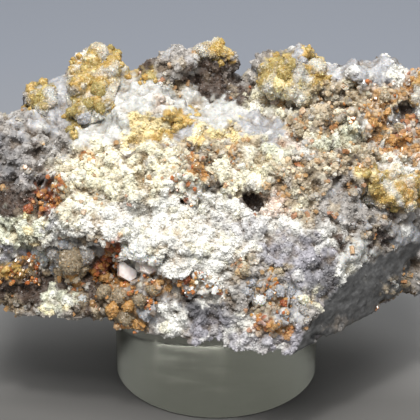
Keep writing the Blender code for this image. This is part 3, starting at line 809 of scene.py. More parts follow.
def shaded(name, roughness, facets=0.3, facet_size=0.35, mottle=0.35, mottle_size=0.6, bump=0.04, soft=0.0):
    """A material that takes the mesh's mineral colour, mottles it and breaks its gloss into tiny facets."""
    material = bpy.data.materials.new(name)
    material.use_nodes = True
    nodes, links = material.node_tree.nodes, material.node_tree.links
    shader = nodes["Principled BSDF"]
    place = nodes.new("ShaderNodeTexCoord")
    colour = nodes.new("ShaderNodeAttribute")
    colour.attribute_name = "mineral colour"
    specks = nodes.new("ShaderNodeTexNoise")
    specks.inputs["Scale"].default_value = 1.0 / (mottle_size * MM)
    specks.inputs["Detail"].default_value = 4.0
    specks.inputs["Roughness"].default_value = 0.65
    spread = nodes.new("ShaderNodeMapRange")
    spread.inputs["From Min"].default_value = 0.3
    spread.inputs["From Max"].default_value = 0.7
    spread.inputs["To Min"].default_value = 1.0 - mottle
    spread.inputs["To Max"].default_value = 1.0 + mottle * 0.45
    tint = nodes.new("ShaderNodeVectorMath")
    tint.operation = "SCALE"
    links.new(place.outputs["Object"], specks.inputs["Vector"])
    links.new(specks.outputs["Fac"], spread.inputs["Value"])
    links.new(colour.outputs["Color"], tint.inputs[0])
    links.new(spread.outputs["Result"], tint.inputs["Scale"])
    links.new(tint.outputs["Vector"], shader.inputs["Base Color"])
    cells = nodes.new("ShaderNodeTexVoronoi")
    cells.inputs["Scale"].default_value = 1.0 / (facet_size * MM)
    turned = nodes.new("ShaderNodeNormalMap")
    turned.space = "OBJECT"
    turned.inputs["Strength"].default_value = facets
    raised = nodes.new("ShaderNodeBump")
    raised.inputs["Strength"].default_value = 0.8
    raised.inputs["Distance"].default_value = bump * MM
    links.new(place.outputs["Object"], cells.inputs["Vector"])
    links.new(cells.outputs["Color"], turned.inputs["Color"])
    links.new(specks.outputs["Fac"], raised.inputs["Height"])
    links.new(turned.outputs["Normal"], raised.inputs["Normal"])
    links.new(raised.outputs["Normal"], shader.inputs["Normal"])
    shader.inputs["Roughness"].default_value = roughness
    if soft:
        shader.inputs["Subsurface Weight"].default_value = soft
        shader.inputs["Subsurface Radius"].default_value = (1.0, 0.7, 0.45)
        shader.inputs["Subsurface Scale"].default_value = 0.5 * MM
    return material


def colour_property(name, description, default):
    """A colour setting."""
    return FloatVectorProperty(name=name, description=description, default=default, size=3, min=0.0, max=1.0,
                               subtype="COLOR_GAMMA")


class MineralColours(bpy.types.PropertyGroup):
    """The colours of the minerals, as a picture shows them."""

    chalk: colour_property("Chalk white", "The brightest, powdery crust", (0.94, 0.935, 0.91))
    cream: colour_property("Cream", "The granular crust over most of the face", (0.93, 0.91, 0.81))
    green_cream: colour_property("Green cream", "The crust with a tinge of green", (0.87, 0.875, 0.79))
    quartz: colour_property("Milky quartz", "Translucent bluish lumps", (0.67, 0.67, 0.68))
    milk: colour_property("Milk white", "Bright, smooth quartz", (0.76, 0.76, 0.745))
    grey_sugar: colour_property("Grey sugar", "Sugary grey crystals", (0.65, 0.63, 0.61))
    lilac: colour_property("Lilac grey", "The matrix where the crust is thin", (0.64, 0.63, 0.66))
    tan: colour_property("Tan", "Sugary tan crystals", (0.71, 0.65, 0.55))
    pink: colour_property("Pink tan", "Pinkish crust", (0.88, 0.80, 0.74))
    golden: colour_property("Golden", "Iron-stained golden balls", (0.74, 0.6, 0.33))
    olive: colour_property("Olive gold", "Greenish golden balls", (0.66, 0.59, 0.37))
    powder: colour_property("Powder gold", "Thin yellow powder on the crust", (0.94, 0.87, 0.66))
    orange: colour_property("Orange", "Orange crystals", (0.76, 0.58, 0.36))
    # Dusky grey also stands for painted shade on the ridge, the knoll and the crest.
    dusk: colour_property("Dusky grey", "Frosted dark grey matrix", (0.43, 0.425, 0.44))
    umber: colour_property("Umber", "Translucent, stained grey-brown lumps", (0.58, 0.52, 0.43))
    rust: colour_property("Rust", "Red-brown crystals", (0.60, 0.33, 0.20))
    # Brown stands partly for stain and partly for painted shade in hollows, gaps and pits.
    brown: colour_property("Brown", "Stained hollows", (0.30, 0.24, 0.20))
    slate: colour_property("Slate grey", "The flat side where the block broke off", (0.37, 0.37, 0.37))
    matrix: colour_property("Host rock", "The broken rock at the back and below", (0.52, 0.49, 0.46))


class CrustSettings(bpy.types.PropertyGroup):
    """Fineness and amounts of the crust and its crystals."""

    voxel: FloatProperty(name="Mesh size", description="Distance between the crust's points",
                         default=0.285 * MM, min=0.2 * MM, max=2.0 * MM, unit="LENGTH")
    kept_share: FloatProperty(name="Share kept", description="Share of the stone's triangles kept",
                              default=0.59, min=0.1, max=1.0)
    grain_size: FloatProperty(name="Grain size", description="Width of the sugary grains",
                              default=0.36 * MM, min=0.1 * MM, max=2.0 * MM, unit="LENGTH")
    white_grains: IntProperty(name="White grains", description="Grains of the white and cream crust",
                              default=23000, min=0, max=24500)
    grey_grains: IntProperty(name="Grey grains", description="Grains of the grey, lilac and tan crust",
                             default=22000, min=0, max=24500)
    stained_crystals: IntProperty(name="Stained crystals", description="Orange and rust crystals",
                                  default=1250, min=0, max=8000)
    nodules: IntProperty(name="Nodules", description="Round nodules on the tan, orange and cream crust",
                         default=660, min=0, max=2400)
    golden_beads: IntProperty(name="Golden beads", description="Small golden balls round the clusters",
                              default=420, min=0, max=2400)
    grains_in_cluster: IntProperty(name="Grains in a cluster", description="Grains on each golden cluster",
                                   default=900, min=0, max=4000)
    grains_on_knobs: IntProperty(name="Grains on knobs", description="How many grains cover the larger knobs",
                                 default=3600, min=0, max=12000)
    crystals_in_cluster: IntProperty(name="Crystals in a cluster", description="Red crystals on each cluster",
                                     default=150, min=0, max=1000)


class StandSettings(bpy.types.PropertyGroup):
    """The clear cylinder."""

    edge: FloatProperty(name="Edge", description="Width of the eased edges", default=0.35 * MM, min=0.05 * MM,
                        max=2.0 * MM, unit="LENGTH")
    tint: colour_property("Tint", "Colour that light takes on in the acrylic", (0.80, 0.80, 0.72))
    absorption: FloatProperty(name="Absorption", description="How strongly the acrylic tints light",
                              default=58.0, min=0.0, max=500.0)


def mineral_table():
    """The minerals' colours as straight light values, one row for each of MINERALS."""
    colours = bpy.context.scene.mineral_colours
    rows = np.array([getattr(colours, mineral)[:] for mineral in MINERALS])
    return np.where(rows <= 0.04045, rows / 12.92, ((rows + 0.055) / 1.055) ** 2.4)


def broken_streaks(points):
    """Uneven streaks along the broken side, about -1 to 1."""
    along = points @ STREAK_AXES
    return noise_field(along, 1.0, 3.0) + 0.6 * noise_field(along * 2.7, 1.0, 5.0)


def crust_colours(shares, points, height):
    """Each point's colour: its minerals, paler on the tips, darkened to brown in the creases by painted shade
    mixed with some real stain, and speckled.
    """
    table = mineral_table()
    colours = shares @ table
    tint = noise_field(points, 1.3 * MM, 11.0)
    speck = noise_field(points, 0.45 * MM, 4.0)
    # Creases and pits are darkened to brown: painted shade where shade falls in them, with some real stain.
    low = np.clip((0.50 - height) / 0.40, 0.0, 1.0) * (1.0 - shares[:, MINERALS.index("slate")])
    high = np.clip((height - 0.55) / 0.35, 0.0, 1.0)
    stain = colours * np.array((0.46, 0.36, 0.26))
    colours = colours + (stain - colours) * (0.85 * low)[:, None]
    colours = colours + (1.0 - colours) * (0.35 * high)[:, None] * colours
    colours = colours * (1.0 + 0.5 * shares[:, MINERALS.index("slate")] * broken_streaks(points))[:, None]
    calm = 1.0 - 0.6 * shares[:, [MINERALS.index(name) for name in ("chalk", "quartz", "milk")]].sum(axis=1)
    return colours * (1.0 + calm * (0.22 * tint + 0.30 * speck))[:, None]


def dressed_surface(mesh, scale=1.0):
    """Raises a mesh by its minerals' relief and colours it, with painted shade in its creases, pits and
    pocks.
    """
    points, normals = mesh_points(mesh), mesh_normals(mesh)
    bend = np.column_stack([noise_field(points, 1.6 * MM, shift) for shift in (13.0, 17.0, 23.0)])
    bent = points + 0.45 * MM * bend
    lumps = cap_field(bent, 2.6 * MM, 1.0)
    knobs, draws = knob_cells(bent, 1.3 * MM, 4.0)
    shares = zone_shares(points, normals, draws)
    amounts = shares @ np.array([RELIEF[mineral] for mineral in MINERALS])
    beads = cap_field(points, 0.6 * MM, 9.0)
    waves = noise_field(points, 5.0 * MM, 2.0) + 0.5 * noise_field(points, 2.2 * MM, 7.0)
    holes = noise_field(bent, 2.0 * MM, 31.0) + 0.5 * noise_field(points, 0.9 * MM, 37.0)
    pocked = shares @ np.array([POCKS.get(name, 0.0) for name in MINERALS])
    pocks = np.clip((holes - 0.14) * 3.2, 0.0, 1.0) * pocked
    rise = amounts[:, 0] * (lumps - 0.5) * 2.0 + amounts[:, 1] * (knobs - 0.5) * 2.3
    rise += amounts[:, 2] * (beads - 0.5) * 1.2 + amounts[:, 3] * waves - 1.1 * pocks
    rise += 0.07 * shares[:, MINERALS.index("slate")] * broken_streaks(points)
    rise = np.where(in_the_open(points), rise, np.minimum(rise, -0.15))
    underside = np.clip(-1.6 * normals[:, 2] - 0.3, 0.0, 1.0)
    rise = rise * (1.0 - 0.5 * underside) - 0.4 * underside
    sunk = sink_pits(points, normals)
    moved = points + normals * (rise * MM * scale - sunk)[:, None] + moved_back(points, 1.0)
    moved[:, 2] = np.maximum(moved[:, 2], LOWEST_CRUST)
    write_places(mesh, moved)
    depth = np.maximum(sunk / MM, 0.0)
    # Pits and pocks lower the height, so their colour takes the painted shade of the creases.
    height = 0.36 * lumps + 0.40 * knobs + 0.24 * beads - 0.22 * depth - 0.6 * pocks
    write_colours(mesh, crust_colours(shares, points, height) * (0.88 + 0.24 * draws[:, :1]))
    return shares


class SPECIMEN_OT_stone(bpy.types.Operator):
    """Build the crusted stone over its solid"""

    bl_idname = "specimen.stone"
    bl_label = "Stone and crust"

    def execute(self, context):
        settings = context.scene.crust_settings
        mesh = remeshed(ROCK_NODE, settings.voxel, 6, settings.kept_share)
        shares = dressed_surface(mesh)
        for mineral, share in zip(MINERALS, shares.T):
            write_amount(mesh, mineral, share)
        stone = add_object("crusted_stone", mesh, shaded("crusted stone", 0.6, facets=0.2))
        quartz = shaded("milky quartz", 0.36, facets=0.22, facet_size=0.3, mottle=0.16, bump=0.10, soft=0.45)
        slate = shaded("broken slate", 0.5, facets=0.1, facet_size=0.2, mottle=0.22, mottle_size=0.25)
        mesh.materials.append(quartz)
        mesh.materials.append(slate)
        milky = amounts_of(mesh, "quartz", "milk", "golden", "olive", "umber") > 0.5
        kind = np.where(read_amount(mesh, "slate") > 0.5, 2, milky.astype(np.int32)).astype(np.int32)
        corners = np.array([polygon.vertices[0] for polygon in mesh.polygons])
        mesh.polygons.foreach_set("material_index", kind[corners])
        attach(stone, "root")
        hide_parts(ROCK_NODE)
        return {"FINISHED"}


def amounts_of(mesh, *minerals):
    """How much of these minerals together there is at each point."""
    return sum(read_amount(mesh, mineral) for mineral in minerals)


class SPECIMEN_OT_grains(bpy.types.Operator):
    """Scatter the sugary grains of the white, cream, grey and tan crust"""

    bl_idname = "specimen.grains"
    bl_label = "Sugary grains"

    def execute(self, context):
        settings = context.scene.crust_settings
        stone = bpy.data.objects["crusted_stone"]
        form = sugar_form()
        kinds = [
            ("white_grains", ("chalk", "cream", "green_cream", "powder", "pink"),
             settings.white_grains, 1.0, 21),
            ("grey_grains", ("grey_sugar", "lilac", "tan", "brown", "dusk", "umber", "orange", "rust"),
             settings.grey_grains, 0.95, 22),
        ]
        for name, minerals, count, scale, seed in kinds:
            mesh = stone.data
            milky = np.clip(1.0 - 2.0 * amounts_of(mesh, "quartz", "milk", "golden", "olive"), 0.04, 1.0)
            seen = 0.15 + np.clip(facing_camera(mesh_normals(mesh)) + 0.4, 0, 1)
            density = amounts_of(mesh, *minerals) * milky * seen
            places, directions, colours, draw = pick_spots(stone, density, count, seed)
            width = settings.grain_size * scale * draw.lognormal(-0.05, 0.32, size=count)
            sizes = width[:, None] * draw.uniform(0.6, 1.25, size=(count, 3))
            places = places + directions * (width * 0.05)[:, None]
            shade = draw.uniform(0.88, 1.12, size=count)[:, None]
            pale = draw.uniform(0.0, 0.35, size=count)[:, None] ** 2
            colours = colours * shade + (0.9 - colours) * pale
            turns = turns_to(directions, 0.7, draw)
            grains = joined_crystals(name, form, places, turns, sizes, colours,
                                     shaded(name.replace("_", " "), 0.3, facets=0.12, bump=0.02))
            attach(grains, "root")
        return {"FINISHED"}


def patches(points):
    """How thickly small crystals grow at each point: in patches of a few millimetres."""
    return np.clip(noise_field(points, 1.7 * MM, 41.0) * 3.0 + 0.45, 0.04, 1.0)


class SPECIMEN_OT_stained_crystals(bpy.types.Operator):
    """Scatter the small orange and rust crystals on the crust"""

    bl_idname = "specimen.stained_crystals"
    bl_label = "Orange and rust crystals"

    def execute(self, context):
        settings = context.scene.crust_settings
        stone = bpy.data.objects["crusted_stone"]
        mesh = stone.data
        count = settings.stained_crystals
        density = amounts_of(mesh, "orange", "rust") + 0.12 * amounts_of(mesh, "tan", "umber")
        density = density + 0.01 * amounts_of(mesh, "cream", "pink")
        seen = np.clip(facing_camera(mesh_normals(mesh)) + 0.3, 0, 1)
        density = density * seen * patches(mesh_points(mesh))
        places, directions, colours, draw = pick_spots(stone, density, count, 31)
        radius = np.minimum(0.25 * draw.lognormal(0.0, 0.3, size=count), 0.38) * MM
        sizes = np.column_stack((radius, radius, radius * draw.uniform(0.8, 1.7, size=count)))
        amber, red = np.array(AMBER), np.array(RED)
        mix = draw.uniform(0.0, 1.0, size=count)[:, None] ** 2.5
        colours = 0.4 * colours + 0.6 * (amber * (1.0 - mix) + red * mix)
        turns = turns_to(directions, 0.8, draw)
        material = shaded("stained crystals", 0.2, facets=0.1, bump=0.02, soft=0.2)
        crystals = joined_crystals("stained_crystals", prism_form(False), places, turns, sizes, colours,
                                   material)
        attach(crystals, "root")
        return {"FINISHED"}


def seen_at(tree, pixel):
    """The point of a surface that the camera sees at a pixel, with the normal there."""
    rise = Vector((0.0, math.sin(VIEW_TILT), math.cos(VIEW_TILT)))
    across = (pixel[0] - PICTURE_MIDDLE) / PIXELS_PER_MM * MM
    up = (PICTURE_MIDDLE - pixel[1]) / PIXELS_PER_MM * MM
    eye = TARGET + Vector(TO_CAMERA) * CAMERA_DISTANCE
    aim = TARGET + Vector((across, 0.0, 0.0)) + rise * up
    place, normal, _, _ = tree.ray_cast(eye, (aim - eye).normalized())
    return place, normal


def knobbly_form(detail, seed):
    """A round knob about 1 in radius with a sugary, uneven skin."""
    bm = bmesh.new()
    bmesh.ops.create_icosphere(bm, subdivisions=detail, radius=1.0)
    for vertex in bm.verts:
        vertex.co *= 0.95 + 0.45 * noise.noise(vertex.co * 1.9 + Vector((seed, 0.0, 0.0)))
    return form_from(bm, "knob")


class SPECIMEN_OT_nodules(bpy.types.Operator):
    """Build the round nodules of the crust"""

    bl_idname = "specimen.nodules"
    bl_label = "Nodules"

    def execute(self, context):
        settings = context.scene.crust_settings
        stone = bpy.data.objects["crusted_stone"]
        mesh = stone.data
        density = amounts_of(mesh, "tan", "orange") + 0.4 * amounts_of(mesh, "umber", "rust", "pink")
        density = (density + 0.07 * amounts_of(mesh, "cream")) * patches(mesh_points(mesh)[:, ::-1])
        density = density * np.clip(facing_camera(mesh_normals(mesh)) + 0.3, 0, 1)
        count = settings.nodules
        places, directions, colours, draw = pick_spots(stone, density, count, 51)
        radius = np.minimum(0.40 * draw.lognormal(0.0, 0.3, size=count), 0.65) * MM
        sizes = radius[:, None] * draw.uniform(0.8, 1.15, size=(count, 3))
        colours = colours * draw.uniform(0.85, 1.3, size=count)[:, None]
        milk = mineral_table()[MINERALS.index("milk")]
        clouded = draw.uniform(0.0, 0.7, size=count)[:, None] * (draw.uniform(size=count) < 0.6)[:, None]
        colours = colours * (1.0 - clouded) + milk * clouded
        warm = (draw.uniform(size=count) < 0.14)[:, None]
        colours = np.where(warm, 0.5 * colours + 0.5 * np.array(AMBER), colours)
        material = shaded("nodules", 0.34, facets=0.2, facet_size=0.25, mottle=0.3, mottle_size=0.5,
                          bump=0.06, soft=0.3)
        places = places + directions * (radius * 0.25)[:, None]
        nodules = joined_crystals("nodules", knobbly_form(2, 1.0), places, turns_to(directions, 0.5, draw),
                                  sizes, colours, material)
        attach(nodules, "root")
        return {"FINISHED"}


class SPECIMEN_OT_golden_balls(bpy.types.Operator):
    """Build the clusters of golden balls and the beads round them"""

    bl_idname = "specimen.golden_balls"
    bl_label = "Golden balls"

    def execute(self, context):
        settings = context.scene.crust_settings
        material = shaded("golden balls", 0.3, facets=0.3, facet_size=0.22, mottle=0.2, mottle_size=0.9,
                          bump=0.07, soft=0.5)
        table = mineral_table()
        frost_colour = 0.5 * (table[MINERALS.index("milk")] + table[MINERALS.index("chalk")])
        for node in GOLDEN_NODES:
            mesh = remeshed(node, 0.2 * MM, 4)
            points, normals = mesh_points(mesh), mesh_normals(mesh)
            knobs, draws = knob_cells(points, 0.62 * MM, 2.0)
            write_places(mesh, points + normals * ((knobs - 0.4) * 0.2 * MM + 0.1 * MM)[:, None])
            crust = zone_shares(points, normals, draws) @ table
            # The crust's colour is darkened between the knobs: painted shade.
            gold = 0.3 * golden_shades(points, knobs) + 0.7 * crust * (0.76 + 0.3 * knobs)[:, None]
            frost = np.clip(noise_field(points, 2.3 * MM, 15.0) * 1.7 - 0.05, 0.0, 0.68)[:, None]
            write_colours(mesh, gold * (1.0 - frost) + frost_colour * frost)
            balls = add_object(node + "_sugar", mesh, material)
            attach(balls, "root")
            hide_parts(node)
            count = settings.grains_in_cluster
            density = np.clip(facing_camera(mesh_normals(mesh)) + 0.6, 0.05, 1.0)
            places, directions, shades, draw = pick_spots(balls, density, count, 31)
            radius = 0.2 * MM * draw.lognormal(0.0, 0.4, size=count)
            shades = shades * draw.uniform(0.9, 1.6, size=count)[:, None]
            sizes = radius[:, None] * draw.uniform(0.7, 1.3, size=(count, 3))
            turns = turns_to(directions, 0.6, draw)
            sugar = joined_crystals(node + "_grains", sugar_form(), places, turns, sizes, shades, material)
            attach(sugar, "root")
        stone = bpy.data.objects["crusted_stone"]
        density = np.clip(amounts_of(stone.data, "golden", "olive") - 0.3, 0.0, 1.0)
        density = density * np.clip(facing_camera(mesh_normals(stone.data)) + 0.3, 0, 1)
        count = settings.golden_beads
        places, directions, _, draw = pick_spots(stone, density, count, 41)
        radius = 0.4 * MM * draw.lognormal(0.0, 0.35, size=count)
        shades = golden_shades(places, draw.uniform(0.2, 1.0, size=count))
        places = places - directions * (radius * 0.2)[:, None]
        sizes = np.column_stack((radius, radius, radius))
        beads = joined_crystals("golden_beads", knobbly_form(2, 4.0), places, turns_to(directions, 0.6, draw),
                                sizes, shades, material, smooth=True)
        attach(beads, "root")
        return {"FINISHED"}


def golden_shades(points, height):
    """Golden to olive colours that change from ball to ball, paler on the tips and darker where low, which
    between the knobs of a cluster is painted shade.
    """
    table = mineral_table()
    golden, olive, pale = (table[MINERALS.index(name)] for name in ("golden", "olive", "powder"))
    swing = np.clip(0.5 + 0.9 * noise_field(points, 3.0 * MM, 6.0), 0.0, 1.0)[:, None]
    tips = (np.clip(height - 0.55, 0.0, 1.0) * 0.5)[:, None]
    colours = golden * swing + olive * (1.0 - swing)
    # Lower places are darker: painted shade between the knobs.
    return (colours * (1.0 - tips) + pale * tips) * (0.85 + 0.35 * height)[:, None]


class SPECIMEN_OT_red_crystals(bpy.types.Operator):
    """Build the crusts of red six-sided crystals"""

    bl_idname = "specimen.red_crystals"
    bl_label = "Red crystals"

    def execute(self, context):
        settings = context.scene.crust_settings
        coat = shaded("stained coat", 0.4, facets=0.25, soft=0.15)
        red = shaded("red crystals", 0.14, facets=0.06, facet_size=0.5, mottle=0.25, bump=0.02, soft=0.25)
        red.node_tree.nodes["Principled BSDF"].inputs["IOR"].default_value = 1.9
        form = prism_form(True)
        for number, node in enumerate(RED_NODES):
            mesh = remeshed(node, 0.22 * MM, 6)
            points, normals = mesh_points(mesh), mesh_normals(mesh)
            knobs, draws = knob_cells(points, 0.9 * MM, 3.0)
            raised = points + normals * ((knobs - 0.5) * 0.25 * MM)[:, None]
            write_places(mesh, raised + moved_back(points, 3.4))
            shares = zone_shares(points, normals, draws)
            # The bed's creases between its knobs take the same painted shade as the crust.
            write_colours(mesh, crust_colours(shares, points, 0.8 * knobs))
            bed = add_object(node + "_bed", mesh, coat)
            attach(bed, "root")
            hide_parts(node)
            count = settings.crystals_in_cluster
            seen = np.clip(facing_camera(mesh_normals(mesh)) + 0.5, 0.02, 1.0)
            density = seen * patches(mesh_points(mesh))
            places, directions, colours, draw = pick_spots(bed, density, count, 60 + number)
            radius = np.minimum(0.23 * draw.lognormal(0.0, 0.35, size=count), 0.38) * MM
            sizes = np.column_stack((radius, radius, radius * draw.uniform(0.7, 1.7, size=count)))
            mix = draw.uniform(0.0, 1.0, size=count)[:, None] ** 1.5
            bright = np.array(AMBER) * (1.0 - mix) + np.array(RED) * mix
            plain = (draw.uniform(size=count) > RED_SHARES[node])[:, None]
            bright = np.where(plain, colours * draw.uniform(0.7, 1.2, size=count)[:, None], bright)
            turns = turns_to(directions, 0.55, draw)
            crystals = joined_crystals(node + "_prisms", form, places, turns, sizes, bright, red)
            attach(crystals, "root")
        return {"FINISHED"}


class SPECIMEN_OT_plate_crystal(bpy.types.Operator):
    """Give the pale plate crystal its clear, pinkish finish"""

    bl_idname = "specimen.plate_crystal"
    bl_label = "Pale plate crystal"

    def execute(self, context):
        plate = frame["nodes"][PLATE_NODE]
        material = bpy.data.materials.new("pale plate")
        material.use_nodes = True
        nodes, links = material.node_tree.nodes, material.node_tree.links
        shader = nodes["Principled BSDF"]
        place = nodes.new("ShaderNodeTexCoord")
        veil = nodes.new("ShaderNodeTexNoise")
        veil.inputs["Scale"].default_value = 900.0
        veil.inputs["Detail"].default_value = 5.0
        ramp = nodes.new("ShaderNodeValToRGB")
        ramp.color_ramp.elements[0].position = 0.35
        ramp.color_ramp.elements[0].color = (0.76, 0.62, 0.56, 1.0)
        ramp.color_ramp.elements[1].position = 0.68
        ramp.color_ramp.elements[1].color = (0.94, 0.88, 0.86, 1.0)
        links.new(place.outputs["Object"], veil.inputs["Vector"])
        links.new(veil.outputs["Fac"], ramp.inputs["Fac"])
        links.new(ramp.outputs["Color"], shader.inputs["Base Color"])
        shader.inputs["Roughness"].default_value = 0.16
        shader.inputs["Subsurface Weight"].default_value = 0.5
        shader.inputs["Subsurface Radius"].default_value = (1.0, 0.75, 0.6)
        shader.inputs["Subsurface Scale"].default_value = 0.8 * MM
        for slot in plate.material_slots:
            slot.material = material
        return {"FINISHED"}


def ground_tree():
    """All that the larger crystals stand on, for finding what the camera sees at a pixel."""
    points, corners = [], []
    grounds = [piece for piece in bpy.data.objects if piece.name.endswith(("_sugar", "_bed", "_stone"))]
    for ground in sorted(grounds, key=lambda piece: piece.name):
        start = sum(len(part) for part in points)
        points.append(mesh_points(ground.data))
        corners.append(mesh_triangles(ground.data) + start)
    return BVHTree.FromPolygons(np.concatenate(points).tolist(), np.concatenate(corners).tolist())


class SPECIMEN_OT_knobs(bpy.types.Operator):
    """Build the larger knobs that stand by themselves"""

    bl_idname = "specimen.knobs"
    bl_label = "Larger knobs"

    def execute(self, context):
        tree = ground_tree()
        found = [(mineral, *seen_at(tree, pixel), size) for mineral, pixel, size in KNOBS]
        size = np.array([radius for _, _, _, radius in found]) * MM
        normals = np.array([normal[:] for _, _, normal, _ in found])
        places = np.array([place[:] for _, place, _, _ in found]) + normals * (size * 0.05)[:, None]
        table = mineral_table()
        shades = np.array([table[MINERALS.index(mineral)] for mineral, _, _, _ in found])
        draw = np.random.default_rng(71)
        material = shaded("larger knobs", 0.32, facets=0.3, facet_size=0.22, mottle=0.3, mottle_size=0.5,
                          bump=0.07, soft=0.4)
        sizes = size[:, None] * draw.uniform(0.78, 1.3, size=(len(size), 3))
        knobs = joined_crystals("larger_knobs", sugary_form(), places, turns_to(normals, 0.9, draw), sizes,
                                shades, material, smooth=True)
        write_colours(knobs.data, stained(read_colours(knobs.data), mesh_points(knobs.data)))
        count = context.scene.crust_settings.grains_on_knobs
        density = np.clip(facing_camera(mesh_normals(knobs.data)) + 0.4, 0.0, 1.0)
        spots, directions, colours, draw = pick_spots(knobs, density, count, 73)
        grain = 0.22 * MM * draw.lognormal(0.0, 0.35, size=count)
        bright = (draw.uniform(size=count) < 0.15)[:, None]
        amber = 0.4 * colours + 0.6 * np.array(AMBER)
        colours = np.where(bright, amber, colours * draw.uniform(0.9, 1.5, size=count)[:, None])
        turns = turns_to(directions, 0.7, draw)
        sizes = grain[:, None] * draw.uniform(0.7, 1.3, size=(count, 3))
        sugar = joined_crystals("knob_grains", sugar_form(), spots, turns, sizes, colours, material)
        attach(sugar, "root")
        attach(knobs, "root")
        return {"FINISHED"}


def stained(colours, points):
    """The colours with amber stains on the warm ones, and small lighter and darker specks on all of them."""
    warm = np.clip(5.0 * (colours[:, 0] - colours[:, 2]) / colours[:, 0] - 0.6, 0.0, 1.0)
    stain = warm * np.clip(1.8 * noise_field(points, 1.0 * MM, 61.0) - 0.1, 0.0, 0.75)
    mixed = colours * (1.0 - stain)[:, None] + np.array(AMBER) * stain[:, None]
    return mixed * (1.0 + 0.35 * noise_field(points, 0.5 * MM, 63.0))[:, None]


def sugary_form():
    """A round knob about 1 in radius, its skin made of small bumps."""
    bm = bmesh.new()
    bmesh.ops.create_icosphere(bm, subdivisions=4, radius=1.0)
    places = np.array([vertex.co[:] for vertex in bm.verts])
    bumps = cap_field(places, 0.42, 3.0)
    swells = noise_field(places, 0.9, 5.0)
    for vertex, bump, swell in zip(bm.verts, bumps, swells):
        vertex.co *= 0.84 + 0.20 * bump + 0.26 * swell
    return form_from(bm, "sugary knob")


def plate_form():
    """A flat six-sided crystal, 1 in radius and 1 thick, with cut edges and a raised step on its face."""
    bm = bmesh.new()
    bmesh.ops.create_cone(bm, cap_ends=True, segments=6, radius1=1.0, radius2=1.0, depth=1.0)
    caps = [face for face in bm.faces if len(face.verts) == 6]
    bmesh.ops.inset_individual(bm, faces=caps, thickness=0.10, depth=0.12)
    bmesh.ops.inset_individual(bm, faces=caps, thickness=0.22, depth=0.0)
    bmesh.ops.inset_individual(bm, faces=caps, thickness=0.05, depth=0.06)
    return form_from(bm, "plate crystal")


class SPECIMEN_OT_small_plates(bpy.types.Operator):
    """Build the smaller plate crystal beside the large one"""

    bl_idname = "specimen.small_plates"
    bl_label = "Smaller plate crystal"

    def execute(self, context):
        tree = ground_tree()
        material = shaded("clear pale crystal", 0.18, facets=0.08, facet_size=0.5, mottle=0.15, soft=0.5)
        for name, pixel, size, thickness, lean, colour in SMALL_PLATES:
            place, _ = seen_at(tree, pixel)
            axis = (Vector(TO_CAMERA) + Vector(lean)).normalized()
            turn = np.array(axis.to_track_quat("Z", "Y").to_matrix())[None]
            middle = np.array(place + axis * thickness * 0.3 * MM)[None]
            sizes = np.array(((size, size * 0.85, thickness),)) * MM
            plate = joined_crystals(name, plate_form(), middle, turn, sizes, np.array((colour,)), material)
            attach(plate, "root")
        return {"FINISHED"}


class SPECIMEN_OT_stand(bpy.types.Operator):
    """Build the clear acrylic cylinder"""

    bl_idname = "specimen.stand"
    bl_label = "Acrylic cylinder"

    def execute(self, context):
        settings = context.scene.stand_settings
        low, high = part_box(STAND_NODE)
        radius = (high[0] - low[0]) / 2
        bm = bmesh.new()
        middle = Matrix.Translation((0.0, 0.0, (low[2] + high[2]) / 2))
        bmesh.ops.create_cone(bm, cap_ends=True, segments=160, radius1=radius, radius2=radius,
                              depth=high[2] - low[2], matrix=middle)
        rims = [edge for edge in bm.edges if any(len(face.verts) > 4 for face in edge.link_faces)]
        bmesh.ops.bevel(bm, geom=rims, offset=settings.edge, segments=3, profile=0.5, affect="EDGES")
        material = bpy.data.materials.new("clear acrylic")
        material.use_nodes = True
        nodes, links = material.node_tree.nodes, material.node_tree.links
        shader = nodes["Principled BSDF"]
        shader.inputs["Transmission Weight"].default_value = 1.0
        shader.inputs["IOR"].default_value = 1.49
        shader.inputs["Base Color"].default_value = (0.97, 0.975, 0.96, 1.0)
        depth = nodes.new("ShaderNodeVolumeAbsorption")
        depth.inputs["Color"].default_value = (*settings.tint, 1.0)
        depth.inputs["Density"].default_value = settings.absorption
        links.new(depth.outputs["Volume"], nodes["Material Output"].inputs["Volume"])
        place = nodes.new("ShaderNodeTexCoord")
        rubs = nodes.new("ShaderNodeTexNoise")
        rubs.inputs["Scale"].default_value = 260.0
        rubs.inputs["Detail"].default_value = 3.0
        wear = nodes.new("ShaderNodeMapRange")
        wear.inputs["From Min"].default_value = 0.3
        wear.inputs["From Max"].default_value = 0.7
        wear.inputs["To Min"].default_value = 0.03
        wear.inputs["To Max"].default_value = 0.18
        upright = nodes.new("ShaderNodeMapping")
        upright.inputs["Scale"].default_value = (1.0, 1.0, 0.04)
        links.new(place.outputs["Object"], upright.inputs["Vector"])
        links.new(upright.outputs["Vector"], rubs.inputs["Vector"])
        links.new(rubs.outputs["Fac"], wear.inputs["Value"])
        links.new(wear.outputs["Result"], shader.inputs["Roughness"])
        mesh = form_from(bm, "acrylic cylinder")
        stand = add_object("acrylic_cylinder", mesh, material, smooth=True)
        for polygon in mesh.polygons:
            polygon.use_smooth = len(polygon.vertices) == 4
        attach(stand, "root")
        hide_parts(STAND_NODE)
        return {"FINISHED"}


def add_light(name, place, size, power, colour=(1.0, 1.0, 1.0)):
    """A soft square lamp that faces the specimen."""
    lamp = bpy.data.lights.new(name, "AREA")
    lamp.size = size
    lamp.energy = power
    lamp.color = colour
    light = bpy.data.objects.new(name, lamp)
    light.location = place
    light.rotation_mode = "QUATERNION"
    light.rotation_quaternion = (TARGET - Vector(place)).to_track_quat("-Z", "Y")
    bpy.context.scene.collection.objects.link(light)


